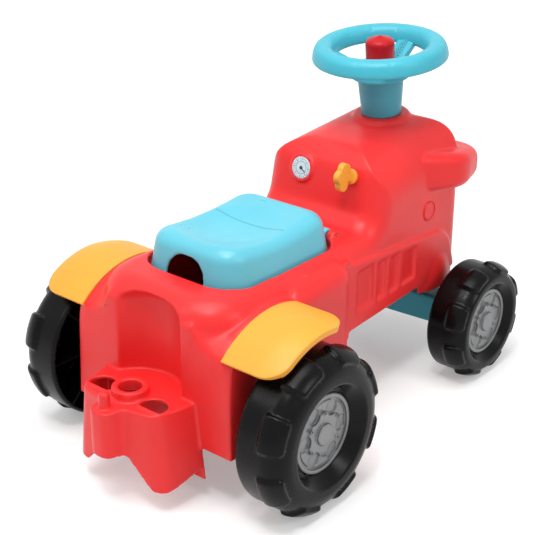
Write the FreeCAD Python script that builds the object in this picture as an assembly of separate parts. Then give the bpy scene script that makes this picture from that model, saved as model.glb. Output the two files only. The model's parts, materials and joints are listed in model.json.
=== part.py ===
import FreeCAD
import Part
import math
import os

# Ride-on tractor toy. Millimetres, +X forward, +Y to the rider's left, +Z up, floor at z = 0.
# Lengths along X are counted from the rear axle and moved to the centre of the whole at the end.

# Fits
WALL = 3.2
RUN_CLEAR = 0.08
GAP = 0.5
SEAT_GAP = 2.5

# Wheels
CONE_DEG = 43.0
SHOULDER_SHARE = 0.42
LUG_SHARE = 0.48
LUG_TOE_ROUND = 6.0
LUG_HEEL_ROUND = 3.0
RIB_SHARE = 0.92
CAP_RING = 4.5
CAP_GROOVE = 2.6
CAP_STEP = 1.5
CAP_DOME = 4.5
CAP_BOLTS = 6
STAR_SHARE = 0.56
SCALLOP_SHARE = 0.36
BOLT_R = 2.0
LUG_COUNT = 8
LUG_ARC = 26.0
LUG_RISE = 4.0
LUG_ROUND = 2.0
WHEEL_WALL = 4.0
HUB_TUBE_R = 12.0
WHEEL_RIBS = 8
RIB_T = 2.6
CAP_T = 4.0
LIP_FLAT = 9.0
AXLE_R = 5.0
NUT_R = 8.0
NUT_T = 1.6
REAR_WHEEL_R = 88.0
REAR_WHEEL_W = 55.0
REAR_FACE_Y = 182.0
REAR_CAP_R = 42.0
REAR_CAP_SINK = 13.0
FRONT_WHEEL_R = 70.0
FRONT_WHEEL_W = 49.0
FRONT_FACE_Y = 153.0
FRONT_CAP_R = 39.5
FRONT_CAP_SINK = 9.0
WHEELBASE = 344.0

# Body
REAR_X = -66.0
SKIRT_Z = 60.0
SKIRT_FRONT_X = 116.0
STEP_X = 150.0
SILL_Z = 109.0
SILL_FRONT_Z = 124.0
HOOD_AHEAD = 44.0
DECK_Z = 210.0
DASH_FOOT_X = 200.0
DASH_TOP_X = 216.5
HOOD_Z = 286.0
RAKE = 5.5
DASH_FOOT_ROUND = 24.0
DASH_TOP_ROUND = 32.0
HOOD_ROUND = 50.0
HOOD_SIDE_ROUND = 56.0
SIDE_ROUND = 28.0
SIDE_HALF = 92.0
SIDE_TAPER = 0.033
TAIL_ROUND = 52.0
POD_HALF = 108.0
POD_TAPER = 0.046
POD_TOP_Z = 203.0
POD_ROUND = 26.0
ARCH_R = 101.0
ARCH_X = 8.0
ARCH_RISE = 4.5
ARCH_IN_Y = 36.0
ARCH_OUT_Y = 96.0
ARCH_FRONT_X = 52.0
ARCH_FLAT = 8.0
ARCH_SWEEP_R = 34.0
ARCH_SWEEP_DEG = 62.0
ARCH_TOP_Z = 203.0
BOSS_R = 17.0
SPACER_R = 9.5
SPACER_SEAT_Y = 109.0

# Trough in the rear face
TROUGH_R = 50.0
TROUGH_DEPTH = 26.0
TROUGH_TOP_Z = 203.0
TROUGH_ROUND = 16.0

# Towing hitch
HITCH_Z = 109.0
HITCH_ROOT_Y = 63.0
HITCH_TAIL_X = -112.0
HITCH_TAIL_Y = 51.0
HITCH_NOTCH_X = -119.0
HITCH_NOTCH_Y = 17.0
HITCH_NOSE_X = -140.0
HITCH_NOSE_Y = 12.0
HITCH_TAIL_ROUND = 16.0
HITCH_FLARE = 0.12
TOW_X = -93.0
TOW_R = 12.0
TOW_RING_R = 19.0
TOW_RING_RISE = 10.0
POCKET_X = -98.0
POCKET_Y = 36.0
POCKET_R = 15.0
POCKET_BACK = 5.0
POCKET_RIM = 2.5
POCKET_RIM_RISE = 1.5
PEG_R = 6.0
PEG_RISE = 17.0
SKIRT_ARCH_Z = 58.0
SKIRT_TONGUE_Z = 24.0
SKIRT_TONGUE_IN_Y = 46.0
SKIRT_TONGUE_OUT_Y = 62.0
SKIRT_ARCH_Y = 15.0
SKIRT_END_Y = 80.0

# Seat, storage well and hinge
SEAT_REAR_X = -14.0
SEAT_FRONT_X = 158.0
SEAT_HALF = 66.0
SEAT_TOP_Z = 247.0
SEAT_DRAW = 9.0
SEAT_RIB_TURN = 38.0
SEAT_RIB_Z = 214.0
SEAT_REAR_ROUND = 34.0
SEAT_FRONT_ROUND = 30.0
SEAT_EDGE_ROUND = 16.0
SEAT_DISH = 8.0
SEAT_WALL = 3.0
LEDGE_Z = 198.0
LEDGE_W = 9.0
WELL_FLOOR_Z = 122.0
NOTCH_HALF = 24.0
NOTCH_TOP_Z = 229.0
HINGE_X = 165.0
HINGE_Z = 208.0
PIN_R = 4.0
KNUCKLE_R = 8.0
KNUCKLE_IN_Y = 18.0
KNUCKLE_OUT_Y = 46.0
LUG_PLATE = 10.0
HINGE_BAY_X = 176.0

# Fenders
FENDER_T = 4.6
FENDER_FRONT_DEG = 67.5
FENDER_REAR_DEG = 134.0
FENDER_OUT_Y = 163.0
FENDER_CROWN = 28.0
FENDER_DROOP = 5.5
FENDER_LIP = 1.2
FENDER_REAR_ROUND = 24.0
FENDER_FRONT_ROUND = 24.0
FENDER_PEG_R = 2.0
FENDER_PEG_DEG = 14.0

# Hood details
VISOR_LENGTH = 121.0
VISOR_BACK_Y = 76.0
VISOR_NOSE = 67.0
VISOR_WIDE_Y = 104.0
VISOR_AHEAD = 27.0
VISOR_FRONT_Y = 84.0
VISOR_LOW_Z = 222.0
VISOR_BACK_TOP_Z = 273.0
VISOR_FRONT_TOP_Z = 254.0
VISOR_EDGE = 13.0
PANEL_HALF = 51.0
PANEL_LOW_Z = 134.0
PANEL_TOP_Z = 219.0
PANEL_T = 5.0
PANEL_SINK = 1.2
LAMP_R = 15.0
LAMP_Y = 29.0
LAMP_Z = 194.0
SLOT_COUNT = 7
SLOT_W = 6.0
SLOT_LOW_Z = 142.0
SLOT_TOP_Z = 170.0
WINDOW_BARS = (199.0, 224.0, 249.0)
WINDOW_BAR_W = 7.5
WINDOW_REAR_X = 164.0
WINDOW_FRONT_X = 281.0
WINDOW_LOW_Z = 128.0
WINDOW_BROW = 9.0
FRAME_RISE = 3.6
FRAME_EDGE = 3.0
FRAME_REAR_Z = 192.5
FRAME_TURN_BACK = 36.0
FRAME_TURN_Z = 169.5
FRAME_TURN_ROUND = 40.0
FRAME_BACK = 17.0
FRAME_FRONT_Z = 114.0
DOME_BACK = 11.0
DOME_SINK = 60.0
DOME_RISE = 9.0
DOME_LOW_Z = 100.0
DOME_TOP_Z = 155.0
DOME_BULGE = 6.5
PLUG_BACK = 77.0
PLUG_Z = 201.0
PLUG_R = 10.0

# Steering, counted along the raked column from the front axle
SHAFT_R = 11.0
BEARING_R = 15.5
BEARING_FLANGE_R = 26.0
BEARING_FLANGE_T = 4.0
BEARING_LOW_S = 66.0
COLLAR_R = 39.0
COLLAR_TOP_R = 31.0
COLLAR_RISE = 5.0
COLLAR_ROUND = 2.5
SLEEVE_LOW_R = 23.0
SLEEVE_TOP_R = 27.0
SLEEVE_TOP_S = 285.0
RIM_S = 308.0
RIM_R = 65.0
RIM_OUT_R = 77.5
RIM_IN_R = 53.0
RIM_LEAN = 5.0
RIM_LOW_S = 302.0
RIM_TOP_S = 319.0
RIM_TOP_ROUND = 8.0
RIM_LOW_ROUND = 3.0
HUB_R = 29.0
HUB_TOP_S = 313.0
HUB_FLANGE_R = 36.5
HUB_FLANGE_T = 5.0
HUB_ROUND = 5.0
SCREW_R = 1.6
SPOKE_W = 25.0
SPOKE_T = 11.0
HORN_R = 17.0
HORN_RISE = 9.0
HORN_TRAVEL = 5.0
HORN_LIP = 2.5
CARRIER_HALF_Y = 103.0
CARRIER_SOCKET_R = 20.0
CARRIER_LOW_S = -17.0
CARRIER_BEAM_S = 18.0
CARRIER_DEEP = 17.0
CARRIER_END_DEEP = 12.0
CARRIER_WALL = 4.5

# Dash fittings
KEY_Y = -41.0
KEY_Z = 262.0
KEY_STEM_R = 4.5
KEY_COLLAR_R = 8.5
KEY_COLLAR_T = 5.0
KEY_BOW_R = 7.5
KEY_BOW_T = 7.0
KEY_BOW_REACH = 17.0
KEY_LOBE_OFF = 8.0
KEY_TIP_OFF = 5.0
CLIP_R = 7.5
CLIP_GAP = 1.5
CLIP_T = 2.5
DIAL_Y = 27.0
DIAL_Z = 257.0
DIAL_R = 12.5
DIAL_T = 2.5
BEZEL_R = 16.0
BEZEL_RISE = 3.0

# Reach beyond the object used for cutting tools
FAR = 600.0

parts = {}


def vec(x, y, z):
    return FreeCAD.Vector(x, y, z)


def rounded_wire(points, radii):
    """Closed wire through points with one corner radius per point."""
    count = len(points)
    ends = []
    for i in range(count):
        here = points[i]
        before = points[i - 1].sub(here).normalize()
        after = points[(i + 1) % count].sub(here).normalize()
        if radii[i] == 0:
            ends.append((here, None, here))
            continue
        half = before.getAngle(after) / 2
        run = radii[i] / math.tan(half)
        middle = before.add(after).normalize().multiply(radii[i] / math.sin(half) - radii[i])
        start = here.add(vec(*before).multiply(run))
        stop = here.add(vec(*after).multiply(run))
        ends.append((start, here.add(middle), stop))
    edges = []
    for i in range(count):
        start, middle, stop = ends[i]
        if middle is not None:
            edges.append(Part.Arc(start, middle, stop).toShape())
        following = ends[(i + 1) % count][0]
        if stop.distanceToPoint(following) > 1e-6:
            edges.append(Part.makeLine(stop, following))
    return Part.Wire(edges)


def side_slab(outline, radii, half):
    """Prism of an (x, z) outline across the object's width."""
    wire = rounded_wire([vec(x, -half, z) for x, z in outline], radii)
    return Part.Face(wire).extrude(vec(0, 2 * half, 0))


def plan_slab(outline, radii, low, high):
    """Prism of an (x, y) outline between two heights."""
    wire = rounded_wire([vec(x, y, low) for x, y in outline], radii)
    return Part.Face(wire).extrude(vec(0, 0, high - low))


def rear_slab(outline, radii, back, front):
    """Prism of a (y, z) outline between two lengthwise positions."""
    wire = rounded_wire([vec(back, y, z) for y, z in outline], radii)
    return Part.Face(wire).extrude(vec(front - back, 0, 0))


def both_sides(half_outline, half_radii):
    """Outline given on the +Y side, completed with its mirror image."""
    other = [(x, -y) for x, y in reversed(half_outline)]
    return half_outline + other, half_radii + list(reversed(half_radii))


def rod(radius, start, stop):
    """Cylinder between two points."""
    axis = stop.sub(start)
    return Part.makeCylinder(radius, axis.Length, start, axis)


def lathe(section, axis_point, axis):
    """Solid of revolution of a wire."""
    return Part.Face(section).revolve(axis_point, axis, 360)


def joined(shapes):
    whole = shapes[0].multiFuse(shapes[1:])
    return whole.removeSplitter()


def mirrored(shape):
    return shape.mirror(vec(0, 0, 0), vec(0, 1, 0))


def moved(shape, x, y, z):
    copy = shape.copy()
    copy.translate(vec(x, y, z))
    return copy


def turned(shape, point, axis, degrees):
    copy = shape.copy()
    copy.rotate(point, axis, degrees)
    return copy


def picked(shape, test):
    """Edges whose middle point passes the test."""
    found = []
    for edge in shape.Edges:
        middle = edge.valueAt((edge.FirstParameter + edge.LastParameter) / 2)
        if test(middle, edge):
            found.append(edge)
    return found


def rest_height(radius):
    """Height of an axle when its wheel stands on the rounded flanks of two lugs."""
    gap = math.radians(360 / LUG_COUNT - LUG_ARC) / 2
    centre = radius - LUG_ROUND
    return centre * math.cos(gap + math.asin(LUG_ROUND / centre)) + LUG_ROUND


REAR_AXLE_Z = rest_height(REAR_WHEEL_R)
ARCH_Z = REAR_AXLE_Z + ARCH_RISE
FRONT_AXLE_Z = rest_height(FRONT_WHEEL_R)
FRONT_X = WHEELBASE + HOOD_AHEAD
VISOR_FRONT_X = FRONT_X + VISOR_AHEAD
VISOR_WIDE_X = VISOR_FRONT_X - VISOR_NOSE
VISOR_BACK_X = VISOR_FRONT_X - VISOR_LENGTH
FRAME_TURN_X = FRONT_X - FRAME_TURN_BACK
FRAME_FRONT_X = FRONT_X - FRAME_BACK
DOME_X = WHEELBASE - DOME_BACK
PLUG_X = FRONT_X - PLUG_BACK
RAKE_SLOPE = math.tan(math.radians(RAKE))
DASH_LEAN = math.atan2(DASH_TOP_X - DASH_FOOT_X, HOOD_Z - DECK_Z)
COLUMN = vec(-math.sin(math.radians(RAKE)), 0, math.cos(math.radians(RAKE)))
STEER_PIVOT = vec(WHEELBASE, 0, FRONT_AXLE_Z)
HOOD_S = (HOOD_Z + RAKE_SLOPE * (WHEELBASE - DASH_TOP_X) - FRONT_AXLE_Z) * COLUMN.z
PAD_S = HOOD_S - 2 * WALL
DISH_HALF = (SEAT_FRONT_X - SEAT_REAR_X - SEAT_DRAW) / 2
DISH_R = (DISH_HALF ** 2 + SEAT_DISH ** 2) / (2 * SEAT_DISH)


def steered(shape):
    """From column coordinates, with the front axle at the origin, to the object's."""
    leaned = turned(shape, vec(0, 0, 0), vec(0, 1, 0), -RAKE)
    leaned.translate(STEER_PIVOT)
    return leaned


def on_dash(shape, y, z):
    """From dash coordinates, with +Z out of the dash, to the object's."""
    x = DASH_FOOT_X + (z - DECK_Z) * math.tan(DASH_LEAN)
    leaned = turned(shape, vec(0, 0, 0), vec(0, 1, 0), -90 + math.degrees(DASH_LEAN))
    leaned.translate(vec(x, y, z))
    return leaned


def side_half(x, inset):
    return SIDE_HALF - SIDE_TAPER * (x - REAR_X) - inset


def pod_half(x, inset):
    return POD_HALF - POD_TAPER * (x - REAR_X) - inset


def outside(half_at):
    """Two blocks that hold everything beyond a slanted side plane on either side."""
    corners = [(-FAR, -FAR), (FAR, -FAR), (FAR, FAR), (-FAR, FAR)]
    points = [vec(x, half_at(x, z), z) for x, z in corners]
    block = Part.Face(Part.makePolygon(points + points[:1])).extrude(vec(0, FAR, 0))
    return [block, mirrored(block)]


def hull_outline(inset):
    """Side view of deck, dash and hood as (x, z) with corner radii."""
    low = [
        (FRONT_X, SILL_FRONT_Z),
        (STEP_X, SILL_Z),
        (SKIRT_FRONT_X, SKIRT_Z),
        (REAR_X, SKIRT_Z),
    ]
    if inset:
        low = [(FRONT_X - inset, -WALL), (REAR_X + inset, -WALL)]
    slope = math.tan(DASH_LEAN)
    roof = HOOD_Z - inset / COLUMN.z
    dash_x = DASH_FOOT_X + inset / math.cos(DASH_LEAN)
    top_x = (dash_x + slope * (roof - RAKE_SLOPE * DASH_TOP_X - DECK_Z)) / (1 - slope * RAKE_SLOPE)
    top_z = roof + RAKE_SLOPE * (top_x - DASH_TOP_X)
    high = [
        (REAR_X + inset, DECK_Z - inset),
        (dash_x - inset * slope, DECK_Z - inset),
        (top_x, top_z),
        (FRONT_X - inset, roof + RAKE_SLOPE * (FRONT_X - inset - DASH_TOP_X)),
    ]
    rounds = [
        0,
        DASH_FOOT_ROUND + inset,
        DASH_TOP_ROUND - inset,
        HOOD_ROUND - inset,
    ]
    return low + high, [0] * len(low) + rounds


def hull_form(inset):
    """Deck, dash and hood as one soft-edged block, drawn in by inset."""
    outline, rounds = hull_outline(inset)
    block = side_slab(outline, rounds, SIDE_HALF + WALL)
    half = [
        (REAR_X + inset, side_half(REAR_X, inset)),
        (FRONT_X + WALL, side_half(FRONT_X + WALL, inset)),
    ]
    corners, turns = both_sides(half, [TAIL_ROUND - inset, 0])
    block = block.common(plan_slab(corners, turns, -FAR, FAR))

    def upper(middle, edge):
        heights = [vertex.Z for vertex in edge.Vertexes]
        level = max(heights) - min(heights) < DECK_Z - SKIRT_Z - WALL
        high = max(heights) > SILL_FRONT_Z + WALL
        across = abs(middle.y) < 1 and middle.x > REAR_X + inset + 1
        at_front = middle.x > FRONT_X - inset - 1
        return high and not across and (level or at_front)

    return block.makeFillet(SIDE_ROUND - inset, picked(block, upper)).cut(hood_corners(inset))


def hood_corners(inset):
    """Blocks outside the large rounding between the hood's roof and its sides."""
    back = DASH_FOOT_X - SIDE_ROUND
    soft = HOOD_SIDE_ROUND - inset
    roof = HOOD_Z - inset / COLUMN.z + RAKE_SLOPE * (back - DASH_TOP_X)
    side = side_half(back, inset)
    centre = vec(back, side - soft, roof - soft)
    out = vec(back, side, roof - soft)
    up = vec(back, side - soft, roof)
    slant = vec(0, 1, 1).normalize().multiply(soft)
    corners = [up, vec(back, up.y, FAR), vec(back, FAR, FAR), vec(back, FAR, out.z), out]
    edges = [Part.makeLine(a, b) for a, b in zip(corners, corners[1:])]
    edges.append(Part.Arc(out, centre.add(slant), up).toShape())
    block = Part.Face(Part.Wire(edges)).extrude(vec(1, -SIDE_TAPER, RAKE_SLOPE).multiply(FAR))
    return [block, mirrored(block)]


def arch_point(radius, x):
    """Point of a circle about the arch's centre, above it."""
    return vec(x, -FAR, ARCH_Z + math.sqrt(radius ** 2 - (x - ARCH_X) ** 2))


def rear_pod_form(inset):
    """Side boxes between the rear wheels, with tops round about the arch's centre."""
    radius = ARCH_R - inset
    back = REAR_X + inset
    low = -WALL if inset else SKIRT_Z
    start = arch_point(radius, back)
    front = arch_point(radius, ARCH_FRONT_X)
    edges = [
        Part.makeLine(vec(back, -FAR, low), start),
        Part.Arc(start, arch_point(radius, ARCH_X), front).toShape(),
        Part.makeLine(front, vec(ARCH_FRONT_X, -FAR, low)),
        Part.makeLine(vec(ARCH_FRONT_X, -FAR, low), vec(back, -FAR, low)),
    ]
    block = Part.Face(Part.Wire(edges)).extrude(vec(0, 2 * FAR, 0))
    return block.cut(outside(lambda x, z: pod_half(x, inset)))


def front_pod_form(inset):
    """Side boxes ahead of the fenders, down to the skirt."""
    turn = math.radians(FENDER_FRONT_DEG)
    ahead = inset + GAP
    root_x = ARCH_X + ahead * math.sin(turn)
    root_z = ARCH_Z - ahead * math.cos(turn)
    top = POD_TOP_Z - inset
    top_x = root_x + (top - root_z) / math.tan(turn)
    low = [(STEP_X, SILL_Z), (SKIRT_FRONT_X, SKIRT_Z), (root_x, SKIRT_Z)]
    if inset:
        low = [(STEP_X - inset, -WALL), (root_x, -WALL)]
    outline = low + [(root_x, root_z), (top_x, top), (STEP_X - inset, top)]
    block = side_slab(outline, [0] * len(outline), FAR)
    block = block.cut(outside(lambda x, z: pod_half(x, inset)))

    def outer(middle, edge):
        on_side = abs(abs(middle.y) - pod_half(middle.x, inset)) < 1
        on_top = middle.z > top - 1
        at_front = middle.x > STEP_X - inset - 1 and middle.z > SILL_Z
        return (on_side and (on_top or at_front)) or (on_top and at_front)

    return block.makeFillet(POD_ROUND - inset, picked(block, outer))


def arch_form(inset):
    """Bands beside the fenders, flush with them, that sweep up to the deck."""
    band_r = ARCH_R + FENDER_T - inset
    out_y = ARCH_OUT_Y - inset
    deep = ARCH_IN_Y + inset
    bend_y = ARCH_OUT_Y - ARCH_FLAT
    bend_r = ARCH_SWEEP_R + inset
    crown = band_r + bend_r

    def swept(degrees):
        turn = math.radians(degrees)
        return vec(0, bend_y - bend_r * math.sin(turn), crown - bend_r * math.cos(turn))

    top = swept(ARCH_SWEEP_DEG)
    corners = [top, vec(0, deep, top.z), vec(0, deep, 0), vec(0, out_y, 0), vec(0, out_y, band_r), swept(0)]
    edges = [Part.makeLine(a, b) for a, b in zip(corners, corners[1:])]
    edges.append(Part.Arc(swept(0), swept(ARCH_SWEEP_DEG / 2), top).toShape())
    drum = moved(lathe(Part.Wire(edges), vec(0, 0, 0), vec(0, 1, 0)), ARCH_X, 0, ARCH_Z)
    length = ARCH_FRONT_X - REAR_X - 2 * inset
    tall = ARCH_TOP_Z - inset - ARCH_Z
    window = Part.makeBox(length, out_y, tall, vec(REAR_X + inset, 0, ARCH_Z))
    band = drum.common(window)
    return [band, mirrored(band)]


def visor_form(inset):
    """Brow that wraps round the front of the hood."""
    half = [
        (VISOR_BACK_X + inset, VISOR_BACK_Y - inset),
        (VISOR_WIDE_X, VISOR_WIDE_Y - inset),
        (VISOR_FRONT_X - inset, VISOR_FRONT_Y - inset),
    ]
    corner = VISOR_WIDE_Y - VISOR_FRONT_Y
    outline, rounds = both_sides(half, [corner, 2 * corner, 2 * corner])
    plan = plan_slab(outline, rounds, VISOR_LOW_Z - WALL, VISOR_BACK_TOP_Z + WALL)
    side = [
        (VISOR_BACK_X - WALL, VISOR_LOW_Z + inset),
        (VISOR_FRONT_X + WALL, VISOR_LOW_Z + inset),
        (VISOR_FRONT_X + WALL, VISOR_FRONT_TOP_Z - inset),
        (VISOR_BACK_X - WALL, VISOR_BACK_TOP_Z - inset),
    ]
    block = plan.common(side_slab(side, [0] * len(side), VISOR_WIDE_Y + WALL))

    def rims(middle, edge):
        return edge.Length > WALL and abs(edge.Vertexes[0].Z - edge.Vertexes[-1].Z) < VISOR_EDGE

    return block.makeFillet(VISOR_EDGE - inset, picked(block, rims))


def trough_form(grow):
    """Round-backed upright trough in the rear face."""
    low = HITCH_Z - grow
    drum = Part.makeCylinder(
        TROUGH_R + grow,
        TROUGH_TOP_Z + grow - low,
        vec(REAR_X + TROUGH_DEPTH - TROUGH_R, 0, low),
    )
    top = picked(drum, lambda middle, edge: edge.Closed and middle.z > TROUGH_TOP_Z - 1)
    return drum.makeFillet(TROUGH_ROUND + grow, top)


def hitch_ring(inset, z):
    """Plan of the hitch at one height; its sides flare toward the floor."""
    flare = HITCH_FLARE * (HITCH_Z - z)
    half = [
        (REAR_X + WALL - inset, HITCH_ROOT_Y + flare - inset),
        (HITCH_TAIL_X + inset, HITCH_TAIL_Y + flare - inset),
        (HITCH_NOTCH_X + inset, HITCH_NOTCH_Y),
        (HITCH_NOSE_X + inset, HITCH_NOSE_Y - inset),
    ]
    rounds = [0, HITCH_TAIL_ROUND, HITCH_NOSE_Y / 2, HITCH_NOSE_Y - inset - WALL / 2]
    outline, rounds = both_sides(half, rounds)
    return rounded_wire([vec(x, y, z) for x, y in outline], rounds)


def hitch_form(inset):
    """Towing platform with a notched tail and a skirt."""
    low = -WALL if inset else SKIRT_TONGUE_Z
    return Part.makeLoft([hitch_ring(inset, low), hitch_ring(inset, HITCH_Z - inset)], True, True)


def hitch_skirt_cut():
    """Block below the hitch's wavy lower edge."""
    half = [
        (SKIRT_END_Y, SKIRT_Z),
        (SKIRT_TONGUE_OUT_Y, SKIRT_TONGUE_Z),
        (SKIRT_TONGUE_IN_Y, SKIRT_TONGUE_Z),
        (SKIRT_ARCH_Y, SKIRT_ARCH_Z),
    ]
    other = [(-y, z) for y, z in reversed(half)]
    outline = [(SKIRT_END_Y, 0)] + half + other + [(-SKIRT_END_Y, 0)]
    soft = SKIRT_ARCH_Y / 2
    rounds = [0, 0, soft, soft, soft, soft, soft, soft, 0, 0]
    return rear_slab(outline, rounds, HITCH_NOSE_X - WALL, REAR_X)


def pocket_form(grow, low, high):
    """D-shaped column through the towing platform, flat at its rear."""
    disc = Part.makeCylinder(POCKET_R + grow, high - low, vec(POCKET_X, POCKET_Y, low))
    side = 2 * (POCKET_R + grow)
    behind = vec(POCKET_X - POCKET_BACK - grow - side, POCKET_Y - side / 2, low)
    return disc.cut(Part.makeBox(side, side, high - low, behind))


def seat_plan(grow, low, high):
    """Plan of the seat, grown all round, between two heights."""
    half = [
        (SEAT_REAR_X - grow, SEAT_HALF + grow),
        (SEAT_FRONT_X + grow, SEAT_HALF + grow),
    ]
    other = [(x, -y) for x, y in reversed(half)]
    rear = SEAT_REAR_ROUND + grow
    front = SEAT_FRONT_ROUND + grow
    return plan_slab(half + other, [rear, front, front, rear], low, high)


def hinge_bay(grow, low, high):
    """Space ahead of the seat for its hinge."""
    half = KNUCKLE_OUT_Y + GAP + LUG_PLATE + grow
    length = HINGE_BAY_X + grow - HINGE_X + KNUCKLE_R
    return Part.makeBox(length, 2 * half, high - low, vec(HINGE_X - KNUCKLE_R, -half, low))


def hinge_ears():
    """Upright plates of the body that hold the hinge pin."""
    ears = []
    spans = [
        (GAP - KNUCKLE_IN_Y, KNUCKLE_IN_Y - GAP),
        (KNUCKLE_OUT_Y + GAP, KNUCKLE_OUT_Y + GAP + LUG_PLATE),
        (-KNUCKLE_OUT_Y - GAP - LUG_PLATE, -KNUCKLE_OUT_Y - GAP),
    ]
    for start, stop in spans:
        eye = rod(KNUCKLE_R - GAP, vec(HINGE_X, start, HINGE_Z), vec(HINGE_X, stop, HINGE_Z))
        foot = Part.makeBox(
            HINGE_X + KNUCKLE_R - SEAT_FRONT_X - 3 * GAP,
            stop - start,
            HINGE_Z - LEDGE_Z + WALL / 2,
            vec(SEAT_FRONT_X + 2 * GAP, start, LEDGE_Z - WALL / 2),
        )
        ears.append(eye.fuse(foot))
    bore = rod(PIN_R, vec(HINGE_X, -FAR, HINGE_Z), vec(HINGE_X, FAR, HINGE_Z))
    return [ear.cut(bore) for ear in ears]


def frame_outline():
    """Side view of the raised frame round the side windows."""
    rear_x = STEP_X - POD_ROUND
    outline = [
        (rear_x, SILL_Z),
        (FRAME_FRONT_X, FRAME_FRONT_Z),
        (FRAME_TURN_X, FRAME_TURN_Z),
        (rear_x, FRAME_REAR_Z),
    ]
    return outline, [0, FRAME_EDGE, FRAME_TURN_ROUND, 0]


def frame_form():
    """Raised frame on the hood's sides with bars between its windows."""
    outline, rounds = frame_outline()
    slab = side_slab(outline, rounds, FAR)
    slab = slab.cut(outside(lambda x, z: side_half(x, -FRAME_RISE)))

    def rim(middle, edge):
        return abs(abs(middle.y) - side_half(middle.x, -FRAME_RISE)) < WALL / 4

    slab = slab.makeFillet(FRAME_EDGE, picked(slab, rim))
    return slab.cut(window_cuts())


def window_cuts():
    """Openings through the frame, with sills that slope outward."""
    stops = [WINDOW_REAR_X]
    for bar in WINDOW_BARS:
        stops = stops + [bar - WINDOW_BAR_W / 2, bar + WINDOW_BAR_W / 2]
    stops.append(WINDOW_FRONT_X)
    rear_x = STEP_X - POD_ROUND
    fall = (FRAME_REAR_Z - FRAME_TURN_Z) / (FRAME_TURN_X - rear_x)
    cuts = []
    for start, stop in zip(stops[0::2], stops[1::2]):
        near = side_half((start + stop) / 2, WALL)
        far = near + 2 * (WALL + FRAME_RISE)
        brow = FRAME_REAR_Z - WINDOW_BROW - fall * (stop - rear_x)
        outline = [
            (near, WINDOW_LOW_Z + WALL + FRAME_RISE),
            (far, WINDOW_LOW_Z + WALL + FRAME_RISE + near - far),
            (far, brow),
            (near, brow),
        ]
        block = rear_slab(outline, [0] * len(outline), start, stop)
        cuts = cuts + [block, mirrored(block)]
    return cuts


def dome_form(inset):
    """Bulges of the hood's sides above the front axle that reach below the sill."""
    axis_y = side_half(DOME_X, 0) - DOME_SINK
    low = -WALL if inset else DOME_LOW_Z
    wide = DOME_SINK + DOME_RISE - inset
    narrow = DOME_SINK - inset
    middle = DOME_SINK + DOME_BULGE - inset
    half_way = (DOME_LOW_Z + DOME_TOP_Z) / 2
    top = vec(narrow, 0, DOME_TOP_Z)
    arc = Part.Arc(vec(wide, 0, DOME_LOW_Z), vec(middle, 0, half_way), top).toShape()
    corners = [top, vec(0, 0, DOME_TOP_Z), vec(0, 0, low), vec(wide, 0, low)]
    if inset:
        corners.append(vec(wide, 0, DOME_LOW_Z))
    edges = [arc] + [Part.makeLine(a, b) for a, b in zip(corners, corners[1:])]
    barrel = moved(lathe(Part.Wire(edges), vec(0, 0, 0), vec(0, 0, 1)), DOME_X, axis_y, 0)
    start = side_half(DOME_X, inset + 2 * WALL)
    window = Part.makeBox(4 * DOME_SINK, DOME_SINK, FAR, vec(DOME_X - 2 * DOME_SINK, start, -WALL))
    bulge = barrel.common(window)
    return [bulge, mirrored(bulge)]


def plug_hole():
    """Hole square to the hood's left side."""
    out = vec(SIDE_TAPER, 1, 0).normalize()
    seat_at = vec(PLUG_X, side_half(PLUG_X, 0), PLUG_Z)
    reach_in = vec(*out).multiply(2 * WALL)
    return rod(PLUG_R, seat_at.sub(reach_in), seat_at.add(reach_in))


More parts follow.
